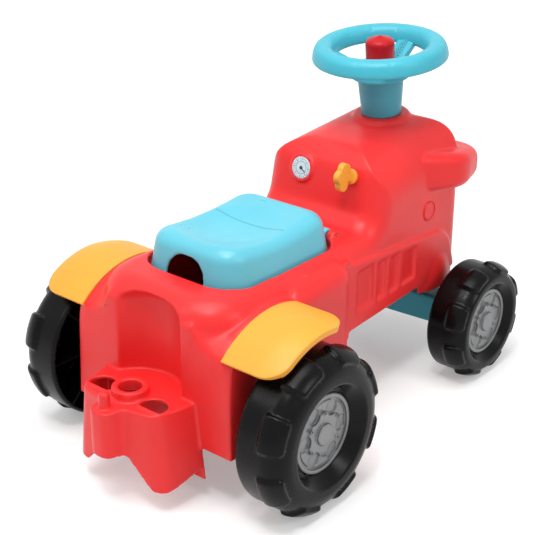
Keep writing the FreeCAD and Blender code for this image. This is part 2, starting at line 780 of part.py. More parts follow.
def body_shell():
    """The moulded body."""
    outer = joined(
        [hull_form(0), rear_pod_form(0), front_pod_form(0), visor_form(0), frame_form()]
        + arch_form(0)
        + dome_form(0)
    )
    hollow = joined(
        [hull_form(WALL), rear_pod_form(WALL), front_pod_form(WALL), visor_form(WALL)]
        + arch_form(WALL)
        + dome_form(WALL)
    )
    hollow = hollow.cut(trough_form(WALL))
    tub = seat_plan(SEAT_GAP + WALL, LEDGE_Z - WALL, DECK_Z)
    tub = tub.fuse(hinge_bay(WALL, LEDGE_Z - WALL, DECK_Z)).common(hull_form(0))
    well = seat_plan(WALL - LEDGE_W, WELL_FLOOR_Z - WALL, LEDGE_Z)
    hitch = hitch_form(0).cut(hitch_skirt_cut()).cut(hitch_form(WALL))
    ring = Part.makeCylinder(TOW_RING_R, TOW_RING_RISE + WALL, vec(TOW_X, 0, HITCH_Z - WALL))
    peg_x = HITCH_NOSE_X + HITCH_NOSE_Y
    peg = Part.makeCylinder(PEG_R, PEG_RISE + WALL, vec(peg_x, 0, HITCH_Z - WALL))
    peg = peg.makeFillet(PEG_R / 2, picked(peg, lambda m, e: m.z > HITCH_Z + PEG_RISE - 1 and e.Closed))
    collar = Part.makeCone(COLLAR_R, COLLAR_TOP_R, HOOD_S + COLLAR_RISE - PAD_S, vec(0, 0, PAD_S))
    collar_rim = picked(collar, lambda m, e: e.Closed and m.z > HOOD_S + COLLAR_RISE - 1)
    collar = steered(collar.makeFillet(COLLAR_ROUND, collar_rim))
    bezel = on_dash(Part.makeCylinder(BEZEL_R, BEZEL_RISE + WALL, vec(0, 0, -WALL)), DIAL_Y, DIAL_Z)
    bosses = []
    for sign in (1, -1):
        start = vec(0, sign * (pod_half(0, WALL) - 2 * WALL), REAR_AXLE_Z)
        bosses.append(rod(BOSS_R, start, vec(0, sign * SPACER_SEAT_Y, REAR_AXLE_Z)))

    pocket = pocket_form(0, HITCH_Z - 2 * WALL, HITCH_Z + 2 * WALL)
    lip = pocket_form(POCKET_RIM, HITCH_Z - WALL, HITCH_Z + POCKET_RIM_RISE)

    shell = outer.cut(trough_form(0)).cut(hollow)
    shell = joined([shell, tub, well, hitch, ring, peg, collar, bezel, lip, mirrored(lip)] + bosses)

    removed = [
        seat_plan(SEAT_GAP, LEDGE_Z, DECK_Z + WALL),
        hinge_bay(0, LEDGE_Z, DECK_Z + WALL),
        seat_plan(-LEDGE_W, WELL_FLOOR_Z, DECK_Z),
        Part.makeCylinder(TOW_R, HITCH_Z, vec(TOW_X, 0, HITCH_Z / 2)),
        pocket,
        mirrored(pocket),
        rod(AXLE_R, vec(0, -FAR, REAR_AXLE_Z), vec(0, FAR, REAR_AXLE_Z)),
        steered(Part.makeCylinder(BEARING_R, FAR, vec(0, 0, HOOD_S / 2))),
        on_dash(Part.makeCylinder(DIAL_R, WALL + BEZEL_RISE, vec(0, 0, BEZEL_RISE - DIAL_T)), DIAL_Y, DIAL_Z),
        on_dash(Part.makeCylinder(KEY_STEM_R + RUN_CLEAR, 4 * WALL, vec(0, 0, -2 * WALL)), KEY_Y, KEY_Z),
        plug_hole(),
        mirrored(plug_hole()),
        panel_slab(PANEL_SINK),
    ]
    removed = removed + fender_pegs() + [mirrored(peg) for peg in fender_pegs()]
    removed = removed + [steered(shank) for shank in screw_shanks()]
    return joined([shell.cut(removed)] + hinge_ears())


def panel_slab(deep):
    """Front panel blank, let into the hood's front face."""
    outline = [
        (-PANEL_HALF, PANEL_LOW_Z),
        (PANEL_HALF, PANEL_LOW_Z),
        (PANEL_HALF, PANEL_TOP_Z),
        (-PANEL_HALF, PANEL_TOP_Z),
    ]
    soft = PANEL_HALF / 4
    return rear_slab(outline, [soft] * len(outline), FRONT_X - deep, FRONT_X + PANEL_T)


def seat_ring(grow, z):
    """Plan of the seat at one height."""
    half = [
        (SEAT_REAR_X - grow, SEAT_HALF + grow),
        (SEAT_FRONT_X + grow, SEAT_HALF + grow),
    ]
    corners = half + [(x, -y) for x, y in reversed(half)]
    rear = SEAT_REAR_ROUND + grow
    front = SEAT_FRONT_ROUND + grow
    return rounded_wire([vec(x, y, z) for x, y in corners], [rear, front, front, rear])


def seat_form(inset):
    """Drafted block of the seat, drawn in by inset."""
    low = LEDGE_Z + GAP
    draft = SEAT_DRAW / (SEAT_TOP_Z - low)
    start = low - WALL if inset else low
    stop = SEAT_TOP_Z - inset
    bottom = seat_ring(draft * (low - start) - inset, start)
    top = seat_ring(draft * (low - stop) - inset, stop)
    block = Part.makeLoft([bottom, top], True, True)
    centre = vec((SEAT_REAR_X + SEAT_FRONT_X) / 2, -FAR, SEAT_TOP_Z - SEAT_DISH + DISH_R)
    block = block.cut(Part.makeCylinder(DISH_R + inset, 2 * FAR, centre, vec(0, 1, 0)))
    edges = picked(block, lambda middle, edge: middle.z > stop - 2 * SEAT_DISH and edge_is_high(edge))
    return block.makeFillet(SEAT_EDGE_ROUND - inset, edges)


def edge_is_high(edge):
    return min(vertex.Z for vertex in edge.Vertexes) > SEAT_TOP_Z - 2 * SEAT_DISH


def seat():
    """Lid seat with a dished top, a finger notch at the rear and hinge knuckles."""
    outer = seat_form(0)
    inner = seat_form(SEAT_WALL)
    ribs = []
    centre = vec((SEAT_REAR_X + SEAT_FRONT_X) / 2, 0, 0)
    for turn in (SEAT_RIB_TURN, -SEAT_RIB_TURN):
        rib = Part.makeBox(FAR, RIB_T, FAR, vec(centre.x - FAR / 2, -RIB_T / 2, SEAT_RIB_Z))
        ribs.append(turned(rib, centre, vec(0, 0, 1), turn).common(inner))
    notch = [
        (-NOTCH_HALF, LEDGE_Z),
        (NOTCH_HALF, LEDGE_Z),
        (NOTCH_HALF, NOTCH_TOP_Z),
        (-NOTCH_HALF, NOTCH_TOP_Z),
    ]
    soft = NOTCH_HALF - WALL
    finger = rear_slab(notch, [0, 0, soft, soft], SEAT_REAR_X - WALL, SEAT_REAR_X + NOTCH_HALF)
    shell = joined([outer.cut(inner)] + ribs).cut(finger)
    knuckles = []
    for sign in (1, -1):
        near = vec(HINGE_X, sign * KNUCKLE_IN_Y, HINGE_Z)
        far = vec(HINGE_X, sign * KNUCKLE_OUT_Y, HINGE_Z)
        eye = rod(KNUCKLE_R, near, far)
        base = vec(SEAT_FRONT_X - SEAT_WALL, min(near.y, far.y), LEDGE_Z + GAP)
        web = Part.makeBox(HINGE_X - base.x, KNUCKLE_OUT_Y - KNUCKLE_IN_Y, HINGE_Z - base.z, base)
        bore = rod(PIN_R + RUN_CLEAR, vec(HINGE_X, -FAR, HINGE_Z), vec(HINGE_X, FAR, HINGE_Z))
        knuckles.append(eye.fuse(web.cut(seat_form(SEAT_WALL))).cut(bore))
    return joined([shell] + knuckles)


def hinge_pin():
    half = KNUCKLE_OUT_Y + GAP + LUG_PLATE
    return rod(PIN_R, vec(HINGE_X, -half, HINGE_Z), vec(HINGE_X, half, HINGE_Z))


def around_arch(radius, degrees, y):
    turn = math.radians(degrees)
    return vec(ARCH_X + radius * math.cos(turn), y, ARCH_Z + radius * math.sin(turn))


def fender_corner(degrees, radius, side):
    """Block outside a rounded outer corner of the left fender."""
    start = vec(ARCH_R - 2 * FENDER_DROOP, FENDER_OUT_Y - radius, 0)
    tall = FENDER_T + 3 * FENDER_DROOP
    block = Part.makeBox(tall, radius + WALL, radius + WALL, start.sub(vec(0, 0, WALL)))
    centre = start.add(vec(0, 0, radius))
    block = block.cut(Part.makeCylinder(radius, tall, centre, vec(1, 0, 0)))
    block = block.cut(Part.makeBox(tall, 2 * radius, radius, centre.sub(vec(0, radius, 0))))
    if side < 0:
        block = block.mirror(vec(0, 0, 0), vec(0, 0, 1))
    return moved(turned(block, vec(0, 0, 0), vec(0, 1, 0), -degrees), ARCH_X, 0, ARCH_Z)


def fender_pegs():
    """Pegs under the left fender that press into the arch."""
    y = ARCH_OUT_Y + FENDER_PEG_R + WALL / 2
    pegs = []
    for degrees in (FENDER_FRONT_DEG + FENDER_PEG_DEG, FENDER_REAR_DEG - FENDER_PEG_DEG):
        inner = around_arch(ARCH_R - 2 * WALL, degrees, y)
        pegs.append(rod(FENDER_PEG_R, inner, around_arch(ARCH_R + WALL / 2, degrees, y)))
    return pegs


def fender():
    """Left fender: a curved plate that droops to a lip along its outer edge."""
    top = ARCH_R + FENDER_T
    lip = ARCH_R - FENDER_DROOP - FENDER_LIP
    knee = FENDER_OUT_Y - FENDER_CROWN
    upper = [vec(top, knee, 0), vec(top - FENDER_DROOP / 4, FENDER_OUT_Y - FENDER_CROWN / 2, 0)]
    upper.append(vec(top - FENDER_DROOP, FENDER_OUT_Y, 0))
    shift = vec(-FENDER_T, 0, 0)
    inner = FENDER_OUT_Y - FENDER_T
    lower = [upper[0].add(shift), upper[1].add(shift), vec(top - FENDER_DROOP - FENDER_T, inner, 0)]
    edges = [
        Part.makeLine(vec(top, ARCH_OUT_Y, 0), upper[0]),
        Part.Arc(*upper).toShape(),
        Part.makeLine(upper[2], vec(lip, FENDER_OUT_Y, 0)),
        Part.makeLine(vec(lip, FENDER_OUT_Y, 0), vec(lip, inner, 0)),
        Part.makeLine(vec(lip, inner, 0), lower[2]),
        Part.Arc(*lower).toShape(),
        Part.makeLine(lower[0], vec(ARCH_R, ARCH_OUT_Y, 0)),
        Part.makeLine(vec(ARCH_R, ARCH_OUT_Y, 0), vec(top, ARCH_OUT_Y, 0)),
    ]
    face = Part.Face(Part.Wire(edges))
    face.rotate(vec(0, 0, 0), vec(0, 1, 0), -FENDER_FRONT_DEG)
    span = FENDER_FRONT_DEG - FENDER_REAR_DEG
    plate = moved(face.revolve(vec(0, 0, 0), vec(0, 1, 0), span), ARCH_X, 0, ARCH_Z)
    plate = plate.cut([
        fender_corner(FENDER_FRONT_DEG, FENDER_FRONT_ROUND, 1),
        fender_corner(FENDER_REAR_DEG, FENDER_REAR_ROUND, -1),
    ])
    return joined([plate] + fender_pegs())


def crown_arc(centre, radius, start_deg):
    """Arc of a wheel section from a turn before the crown up to the crown."""
    spots = []
    for degrees in (start_deg, start_deg / 2, 0):
        turn = math.radians(degrees)
        spots.append(vec(centre[0] + radius * math.cos(turn), centre[1] - radius * math.sin(turn), 0))
    return Part.Arc(*spots).toShape()


def ends(edge):
    """The two end points of an arc as (radius, depth)."""
    first = edge.valueAt(edge.FirstParameter)
    last = edge.valueAt(edge.LastParameter)
    return (first.x, first.y), (last.x, last.y)


def path(points):
    return [Part.makeLine(vec(*a, 0), vec(*b, 0)) for a, b in zip(points, points[1:])]


def wheel(radius, width, cap_r, sink):
    """Open-backed wheel about the Y axis, its outer face at y = 0 and its back at y = width."""
    base_r = radius - LUG_RISE
    lip_r = cap_r + sink * math.tan(math.radians(CONE_DEG))
    flat_r = lip_r + LIP_FLAT
    shoulder = width * SHOULDER_SHARE
    seat_s = sink + CAP_T
    web_s = seat_s + WHEEL_WALL
    bore = AXLE_R + RUN_CLEAR
    inner_r = base_r - WHEEL_WALL
    fall = base_r - flat_r
    bend_r = (fall ** 2 + shoulder ** 2) / (2 * fall)
    bend_at = (base_r - bend_r, shoulder)
    flank_deg = math.degrees(math.atan2(shoulder, flat_r - bend_at[0]))
    outer = crown_arc(bend_at, bend_r, flank_deg)
    inner = crown_arc(bend_at, bend_r - WHEEL_WALL, flank_deg)
    inner_toe, inner_crown = ends(inner)
    first = [(bore, seat_s), (cap_r, seat_s), (cap_r, sink), (lip_r, 1), (lip_r + 1, 0), (flat_r, 0)]
    tread = [(base_r, shoulder), (base_r, width - 3), (base_r - 3, width), (inner_r, width)]
    tread.append(inner_crown)
    back = [inner_toe, (lip_r + WHEEL_WALL, inner_toe[1]), (cap_r + WHEEL_WALL, web_s)]
    back = back + [(HUB_TUBE_R, web_s), (HUB_TUBE_R, width), (bore, width), first[0]]
    edges = path(first) + [outer] + path(tread) + [inner] + path(back)
    body = lathe(Part.Wire(Part.__sortEdges__(edges)), vec(0, 0, 0), vec(0, 1, 0))

    rib_outline = [
        (HUB_TUBE_R - 1, web_s - 1),
        (cap_r + WHEEL_WALL, web_s - 1),
        (inner_r + 1, shoulder + 2 * WHEEL_WALL),
        (inner_r + 1, width * RIB_SHARE),
        (HUB_TUBE_R - 1, width * RIB_SHARE),
    ]
    points = [vec(r, s, -RIB_T / 2) for r, s in rib_outline]
    rib = Part.Face(Part.makePolygon(points + points[:1])).extrude(vec(0, 0, RIB_T))

    lug_s = width * LUG_SHARE
    deep = WHEEL_WALL / 2
    toe_deg = math.degrees(math.asin(shoulder / (bend_r + LUG_RISE)))
    crest = crown_arc(bend_at, bend_r + LUG_RISE, toe_deg)
    root = crown_arc(bend_at, bend_r - deep, toe_deg)
    toe, crown = ends(crest)
    root_toe, root_crown = ends(root)
    edges = [crest] + path([crown, (radius, lug_s), (base_r - deep, lug_s), root_crown])
    edges = edges + [root] + path([root_toe, toe])
    face = Part.Face(Part.Wire(Part.__sortEdges__(edges)))
    face.rotate(vec(0, 0, 0), vec(0, 1, 0), -LUG_ARC / 2)
    lug = face.revolve(vec(0, 0, 0), vec(0, 1, 0), LUG_ARC)

    def away(point):
        return math.hypot(point.x, point.z)

    def at_toe(middle, edge):
        straight = edge.Curve.TypeId == "Part::GeomLine"
        return straight and middle.y < shoulder / 2

    def at_heel(middle, edge):
        straight = edge.Curve.TypeId == "Part::GeomLine"
        return straight and abs(middle.y - lug_s) < deep / 4 and away(middle) > base_r - deep

    lug = lug.makeFillet(LUG_TOE_ROUND, picked(lug, at_toe))
    lug = lug.makeFillet(LUG_HEEL_ROUND, picked(lug, at_heel))

    def proud(middle, edge):
        across = middle.y - bend_at[1]
        if across > 0:
            return away(middle) > radius - deep / 4
        return math.hypot(away(middle) - bend_at[0], across) > bend_r + LUG_RISE - deep / 4

    lug = lug.makeFillet(LUG_ROUND, picked(lug, proud))
    pieces = [body]
    for i in range(WHEEL_RIBS):
        pieces.append(turned(rib, vec(0, 0, 0), vec(0, 1, 0), 360 / WHEEL_RIBS * i))
    for i in range(LUG_COUNT):
        turn = 90 + 360 / LUG_COUNT * (i + 1 / 2)
        pieces.append(turned(lug, vec(0, 0, 0), vec(0, 1, 0), turn))
    return joined(pieces)


def hub_cap(cap_r, sink):
    """Pressed-in cap with a star-shaped centre, ring and bolt heads."""
    seat_s = sink + CAP_T
    ring_in = cap_r - CAP_RING
    groove_in = ring_in - CAP_GROOVE
    star_r = cap_r * STAR_SHARE
    hole_r = NUT_R + 2 * GAP
    dome_r = hole_r + CAP_GROOVE
    points = [
        (0, sink - CAP_DOME),
        (dome_r - 1, sink - CAP_DOME),
        (dome_r, sink - CAP_DOME + 1),
        (dome_r, sink - CAP_STEP),
        (star_r, sink - CAP_STEP),
        (star_r, sink),
        (groove_in, sink),
        (groove_in, sink + CAP_STEP),
        (ring_in, sink + CAP_STEP),
        (ring_in, sink - CAP_STEP),
        (cap_r - 1, sink - CAP_STEP),
        (cap_r, sink - CAP_STEP + 1),
        (cap_r, seat_s),
        (hole_r, seat_s),
        (hole_r, sink - CAP_DOME + CAP_GROOVE),
        (0, sink - CAP_DOME + CAP_GROOVE),
    ]
    cap = lathe(Part.Wire(path(points + points[:1])), vec(0, 0, 0), vec(0, 1, 0))
    scallop_r = star_r * SCALLOP_SHARE
    cuts = []
    bolts = []
    for i in range(CAP_BOLTS):
        turn = 2 * math.pi / CAP_BOLTS * i
        away = star_r + scallop_r / 2
        spot = vec(away * math.cos(turn), sink - CAP_DOME, away * math.sin(turn))
        cuts.append(Part.makeCylinder(scallop_r, CAP_DOME + CAP_STEP, spot, vec(0, 1, 0)))
        turn = turn + math.pi / CAP_BOLTS
        spot = vec(star_r * math.cos(turn), sink - 2 * CAP_STEP, star_r * math.sin(turn))
        bolts.append(Part.makeCylinder(BOLT_R, 3 * CAP_STEP, spot, vec(0, 1, 0)))
    core = Part.makeCylinder(dome_r, CAP_T + CAP_DOME, vec(0, sink - CAP_DOME, 0), vec(0, 1, 0))
    return joined([cap.cut([cut.cut(core) for cut in cuts])] + bolts)


def right_side(shape, x, z, face_y):
    """Wheel part from its own axis to the object's right side."""
    return moved(shape, x, -face_y, z)


def axle(x, z, face_y, sink):
    half = face_y - sink - CAP_T + GAP + NUT_T + 1
    return rod(AXLE_R, vec(x, -half, z), vec(x, half, z))


def push_nut(x, z, face_y, sink):
    """Left push nut between wheel and cap."""
    inner = face_y - sink - CAP_T + GAP
    ring = rod(NUT_R, vec(x, inner, z), vec(x, inner + NUT_T, z))
    return ring.cut(axle(x, z, face_y, sink))


def spacer():
    """Tube on the rear axle between body and left wheel."""
    stop = REAR_FACE_Y - REAR_WHEEL_W - GAP
    tube = rod(SPACER_R, vec(0, SPACER_SEAT_Y, REAR_AXLE_Z), vec(0, stop, REAR_AXLE_Z))
    return tube.cut(axle(0, REAR_AXLE_Z, REAR_FACE_Y, REAR_CAP_SINK))


def upright(radius, low, high):
    """Cylinder along the steering column."""
    return Part.makeCylinder(radius, high - low, vec(0, 0, low))


HORN_FLOOR_S = HUB_TOP_S - 2 * HORN_LIP - HORN_TRAVEL - 2 * GAP
SHAFT_TOP_S = HORN_FLOOR_S - WALL
SHAFT_LOW_S = AXLE_R + 2 * WALL
SLEEVE_LOW_S = HOOD_S + COLLAR_RISE + GAP


def screw_spots():
    """Places of the bearing's screws about the column."""
    away = (BEARING_R + BEARING_FLANGE_R) / 2
    turns = [math.pi / 4 + math.pi / 2 * i for i in range(4)]
    return [(away * math.cos(turn), away * math.sin(turn)) for turn in turns]


def screw_shanks():
    top = HOOD_S + COLLAR_RISE / 2
    low = PAD_S - BEARING_FLANGE_T
    return [moved(upright(SCREW_R, low, top), x, y, 0) for x, y in screw_spots()]


def bearing():
    """Tube that carries the steering shaft, with a flange under the hood's roof."""
    tube = upright(BEARING_R, BEARING_LOW_S, HOOD_S + COLLAR_RISE)
    flange = upright(BEARING_FLANGE_R, PAD_S - BEARING_FLANGE_T, PAD_S)
    bore = upright(SHAFT_R + RUN_CLEAR, 0, FAR)
    holes = [steered(hole) for hole in [bore] + screw_shanks()]
    return joined([steered(tube), steered(flange).common(hull_form(WALL))]).cut(holes)


def bearing_screws():
    low = PAD_S - BEARING_FLANGE_T
    heads = [moved(upright(2 * SCREW_R, low - SCREW_R, low), x, y, 0) for x, y in screw_spots()]
    screws = [head.fuse(shank) for head, shank in zip(heads, screw_shanks())]
    return steered(Part.makeCompound(screws))


def sleeve():
    """Tapered cover of the column, open below."""
    tall = SLEEVE_TOP_S - SLEEVE_LOW_S
    skin = Part.makeCone(SLEEVE_LOW_R, SLEEVE_TOP_R, tall, vec(0, 0, SLEEVE_LOW_S))
    room = Part.makeCone(
        SLEEVE_LOW_R - WALL, SLEEVE_TOP_R - WALL, tall - 2 * WALL, vec(0, 0, SLEEVE_LOW_S))
    return steered(skin.cut([room, upright(SHAFT_R, 0, FAR)]))


def shaft():
    return steered(upright(SHAFT_R, SHAFT_LOW_S, SHAFT_TOP_S))


def steering_wheel():
    """Rim, three spokes and a hub with a pocket for the horn button."""
    section = [
        vec(RIM_IN_R, 0, RIM_LOW_S),
        vec(RIM_OUT_R, 0, RIM_LOW_S),
        vec(RIM_OUT_R - RIM_LEAN, 0, RIM_TOP_S),
        vec(RIM_IN_R + RIM_LEAN / 2, 0, RIM_TOP_S),
    ]
    rounds = [RIM_LOW_ROUND, RIM_LOW_ROUND, RIM_TOP_ROUND, RIM_TOP_ROUND]
    rim = lathe(rounded_wire(section, rounds), vec(0, 0, 0), vec(0, 0, 1))
    hub = upright(HUB_R, SLEEVE_TOP_S, HUB_TOP_S)
    hub = hub.makeFillet(HUB_ROUND, picked(hub, lambda m, e: e.Closed and m.z > HUB_TOP_S - 1))
    flange = upright(HUB_FLANGE_R, SLEEVE_TOP_S, SLEEVE_TOP_S + HUB_FLANGE_T)
    tops = picked(flange, lambda m, e: e.Closed and m.z > SLEEVE_TOP_S + 1)
    flange = flange.makeFillet(HUB_FLANGE_T / 2, tops)
    notch = Part.makeBox(SPOKE_T, SPOKE_T, SPOKE_T, vec(-HUB_FLANGE_R - WALL, -SPOKE_T / 2, SLEEVE_TOP_S))
    spokes = []
    for turn in (0, 120, 240):
        low = RIM_S - SPOKE_T / 2 - GAP
        bar = Part.makeBox(RIM_R - HUB_R / 2, SPOKE_W, SPOKE_T, vec(HUB_R / 2, -SPOKE_W / 2, low))
        bar = bar.makeFillet(SPOKE_T / 3, picked(bar, lambda m, e: abs(m.y) > SPOKE_W / 2 - 1 and abs(m.z - RIM_S) > 1))
        spokes.append(turned(bar, vec(0, 0, 0), vec(0, 0, 1), turn))
    whole = joined([rim, hub, flange] + spokes)
    pocket = upright(HORN_R + HORN_LIP + GAP, HORN_FLOOR_S, HUB_TOP_S - HORN_LIP)
    mouth = upright(HORN_R + GAP, HORN_FLOOR_S, FAR)
    return steered(whole.cut([notch, pocket, mouth, upright(SHAFT_R, 0, SHAFT_TOP_S)]))


def horn_button():
    """Push button with a retaining lip."""
    lip_top = HUB_TOP_S - HORN_LIP - GAP
    lip = upright(HORN_R + HORN_LIP, lip_top - HORN_LIP, lip_top)
    cap = upright(HORN_R, lip_top - HORN_LIP, HUB_TOP_S + HORN_RISE)
    edges = picked(cap, lambda m, e: e.Closed and m.z > HUB_TOP_S)
    return steered(joined([lip, cap.makeFillet(HORN_RISE * 2 / 3, edges)]))


def carrier_outline(inset):
    half = [(CARRIER_DEEP - inset, CARRIER_SOCKET_R), (CARRIER_END_DEEP - inset, CARRIER_HALF_Y - inset)]
    right = half + [(-x, y) for x, y in reversed(half)]
    return right + [(-x, -y) for x, y in right]


def axle_carrier():
    """Steered cross beam with the socket of the shaft, ribbed and open below."""
    outline = carrier_outline(0)
    beam = plan_slab(outline, [0] * len(outline), CARRIER_LOW_S, CARRIER_BEAM_S)
    edges = picked(beam, lambda m, e: m.z > CARRIER_BEAM_S - 1 and abs(m.y) < CARRIER_HALF_Y - 1)
    beam = beam.makeFillet(CARRIER_WALL, edges)
    outline = carrier_outline(CARRIER_WALL)
    room = plan_slab(outline, [0] * len(outline), CARRIER_LOW_S - WALL, CARRIER_BEAM_S - CARRIER_WALL)
    tunnel = rod(AXLE_R + CARRIER_WALL, vec(0, -CARRIER_HALF_Y, 0), vec(0, CARRIER_HALF_Y, 0))
    pieces = [beam.cut(room), tunnel, upright(CARRIER_SOCKET_R, CARRIER_LOW_S, BEARING_LOW_S - GAP)]
    for share in (-2 / 3, -1 / 3, 1 / 3, 2 / 3):
        y = share * CARRIER_HALF_Y
        web = Part.makeBox(
            2 * CARRIER_END_DEEP,
            RIB_T,
            CARRIER_BEAM_S - CARRIER_LOW_S - CARRIER_WALL,
            vec(-CARRIER_END_DEEP, y - RIB_T / 2, CARRIER_LOW_S),
        )
        pieces.append(web)
    bore = rod(AXLE_R, vec(0, -FAR, 0), vec(0, FAR, 0))
    return steered(joined(pieces).cut([bore, upright(SHAFT_R, SHAFT_LOW_S, FAR)]))


def key():
    """Ignition key with a three-lobed bow."""
    collar = upright(KEY_COLLAR_R, GAP, KEY_COLLAR_T)
    collar = collar.makeFillet(1, picked(collar, lambda m, e: e.Closed and m.z > 1))
    stem = upright(KEY_STEM_R, -WALL - CLIP_GAP - CLIP_T - GAP, KEY_COLLAR_T)
    lobes = []
    for x, z in ((KEY_LOBE_OFF, 0), (-KEY_LOBE_OFF, 0), (0, KEY_TIP_OFF)):
        spot = vec(x, -KEY_BOW_T / 2, KEY_BOW_REACH + z)
        lobes.append(Part.makeCylinder(KEY_BOW_R, KEY_BOW_T, spot, vec(0, 1, 0)))
    neck = Part.makeBox(
        2 * KEY_STEM_R, KEY_BOW_T, KEY_BOW_REACH - WALL, vec(-KEY_STEM_R, -KEY_BOW_T / 2, WALL))
    bow = joined(lobes + [neck])
    return on_dash(joined([bow, collar, stem]), KEY_Y, KEY_Z)


def key_clip():
    ring = upright(CLIP_R, -WALL - CLIP_GAP - CLIP_T, -WALL - CLIP_GAP)
    return on_dash(ring.cut(upright(KEY_STEM_R, -FAR, FAR)), KEY_Y, KEY_Z)


def dial():
    return on_dash(upright(DIAL_R, BEZEL_RISE - DIAL_T, BEZEL_RISE - GAP), DIAL_Y, DIAL_Z)


def side_plug():
    """Left plug: a button with a flange behind the wall."""
    out = vec(SIDE_TAPER, 1, 0).normalize()
    seat_at = vec(PLUG_X, side_half(PLUG_X, 0), PLUG_Z)
    wall_at = seat_at.add(vec(*out).multiply(-WALL))
    head = rod(PLUG_R, wall_at, seat_at.add(vec(*out).multiply(GAP)))
    flange = rod(PLUG_R + WALL, wall_at.add(vec(*out).multiply(-WALL / 2)), wall_at)
    return joined([head, flange])


def front_panel():
    """Grille panel with two lamp cups."""
    panel = panel_slab(PANEL_SINK)
    front = FRONT_X + PANEL_T
    rims = picked(panel, lambda m, e: abs(m.x - front) < 0.1)
    panel = panel.makeFillet(PANEL_T / 3, rims)
    cuts = []
    pitch = 2 * (PANEL_HALF - 2 * SLOT_W) / (SLOT_COUNT - 1)
    for i in range(SLOT_COUNT):
        y = pitch * (i - (SLOT_COUNT - 1) / 2)
        half = SLOT_W / 2
        box = [(y - half, SLOT_LOW_Z), (y + half, SLOT_LOW_Z), (y + half, SLOT_TOP_Z), (y - half, SLOT_TOP_Z)]
        cuts.append(rear_slab(box, [half * 0.9] * 4, front - PANEL_T * 2 / 3, front + 1))
    for sign in (1, -1):
        spot = vec(front - PANEL_T / 2, sign * LAMP_Y, LAMP_Z)
        cuts.append(Part.makeCylinder(LAMP_R, PANEL_T, spot, vec(1, 0, 0)))
    return panel.cut(cuts)


def lamp():
    """Left lamp lens."""
    spot = vec(FRONT_X + PANEL_T / 2, LAMP_Y, LAMP_Z)
    disc = Part.makeCylinder(LAMP_R, PANEL_T, spot, vec(1, 0, 0))
    return disc.makeFillet(PANEL_T / 2 - GAP, picked(disc, lambda m, e: e.Closed and m.x > spot.x + 1))


parts["body_shell"] = body_shell()
parts["seat"] = seat()
parts["hinge_pin"] = hinge_pin()
parts["fender_left"] = fender()
parts["bearing"] = bearing()
parts["bearing_screws"] = bearing_screws()
parts["column_sleeve"] = sleeve()
parts["steering_shaft"] = shaft()
parts["steering_wheel"] = steering_wheel()
parts["horn_button"] = horn_button()
parts["axle_carrier"] = axle_carrier()
parts["ignition_key"] = key()
parts["key_clip"] = key_clip()
parts["dash_dial"] = dial()
parts["side_plug_left"] = side_plug()
parts["front_panel"] = front_panel()
parts["lamp_left"] = lamp()
parts["rear_axle"] = axle(0, REAR_AXLE_Z, REAR_FACE_Y, REAR_CAP_SINK)
parts["front_axle"] = axle(WHEELBASE, FRONT_AXLE_Z, FRONT_FACE_Y, FRONT_CAP_SINK)
parts["rear_nut_left"] = push_nut(0, REAR_AXLE_Z, REAR_FACE_Y, REAR_CAP_SINK)
parts["front_nut_left"] = push_nut(WHEELBASE, FRONT_AXLE_Z, FRONT_FACE_Y, FRONT_CAP_SINK)
parts["spacer_left"] = spacer()
rear = wheel(REAR_WHEEL_R, REAR_WHEEL_W, REAR_CAP_R, REAR_CAP_SINK)
rear_cap = hub_cap(REAR_CAP_R, REAR_CAP_SINK)
front = wheel(FRONT_WHEEL_R, FRONT_WHEEL_W, FRONT_CAP_R, FRONT_CAP_SINK)
front_cap = hub_cap(FRONT_CAP_R, FRONT_CAP_SINK)
rights = {
    "rear_wheel": right_side(rear, 0, REAR_AXLE_Z, REAR_FACE_Y),
    "rear_cap": right_side(rear_cap, 0, REAR_AXLE_Z, REAR_FACE_Y),
    "front_wheel": right_side(front, WHEELBASE, FRONT_AXLE_Z, FRONT_FACE_Y),
    "front_cap": right_side(front_cap, WHEELBASE, FRONT_AXLE_Z, FRONT_FACE_Y),
}
for name, shape in rights.items():
    parts[name + "_right"] = shape
    parts[name + "_left"] = mirrored(shape)
for name in ("fender", "side_plug", "lamp", "rear_nut", "front_nut", "spacer"):
    parts[name + "_right"] = mirrored(parts[name + "_left"])

reach = max(VISOR_FRONT_X, WHEELBASE + FRONT_WHEEL_R)
middle_x = (reach + HITCH_NOSE_X) / 2
os.makedirs("parts", exist_ok=True)
for name, shape in parts.items():
    placed = moved(shape, -middle_x, 0, 0)
    placed.exportStep("parts/" + name + ".step")
    print(name, placed.isValid(), len(placed.Solids), placed.BoundBox)
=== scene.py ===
"""Looks of a child's ride-on tractor: finishes, softened mouldings, small details and the studio."""

import json
import logging
import math
from dataclasses import dataclass, field
from enum import Enum

import bmesh
import bpy
from mathutils import Matrix, Vector

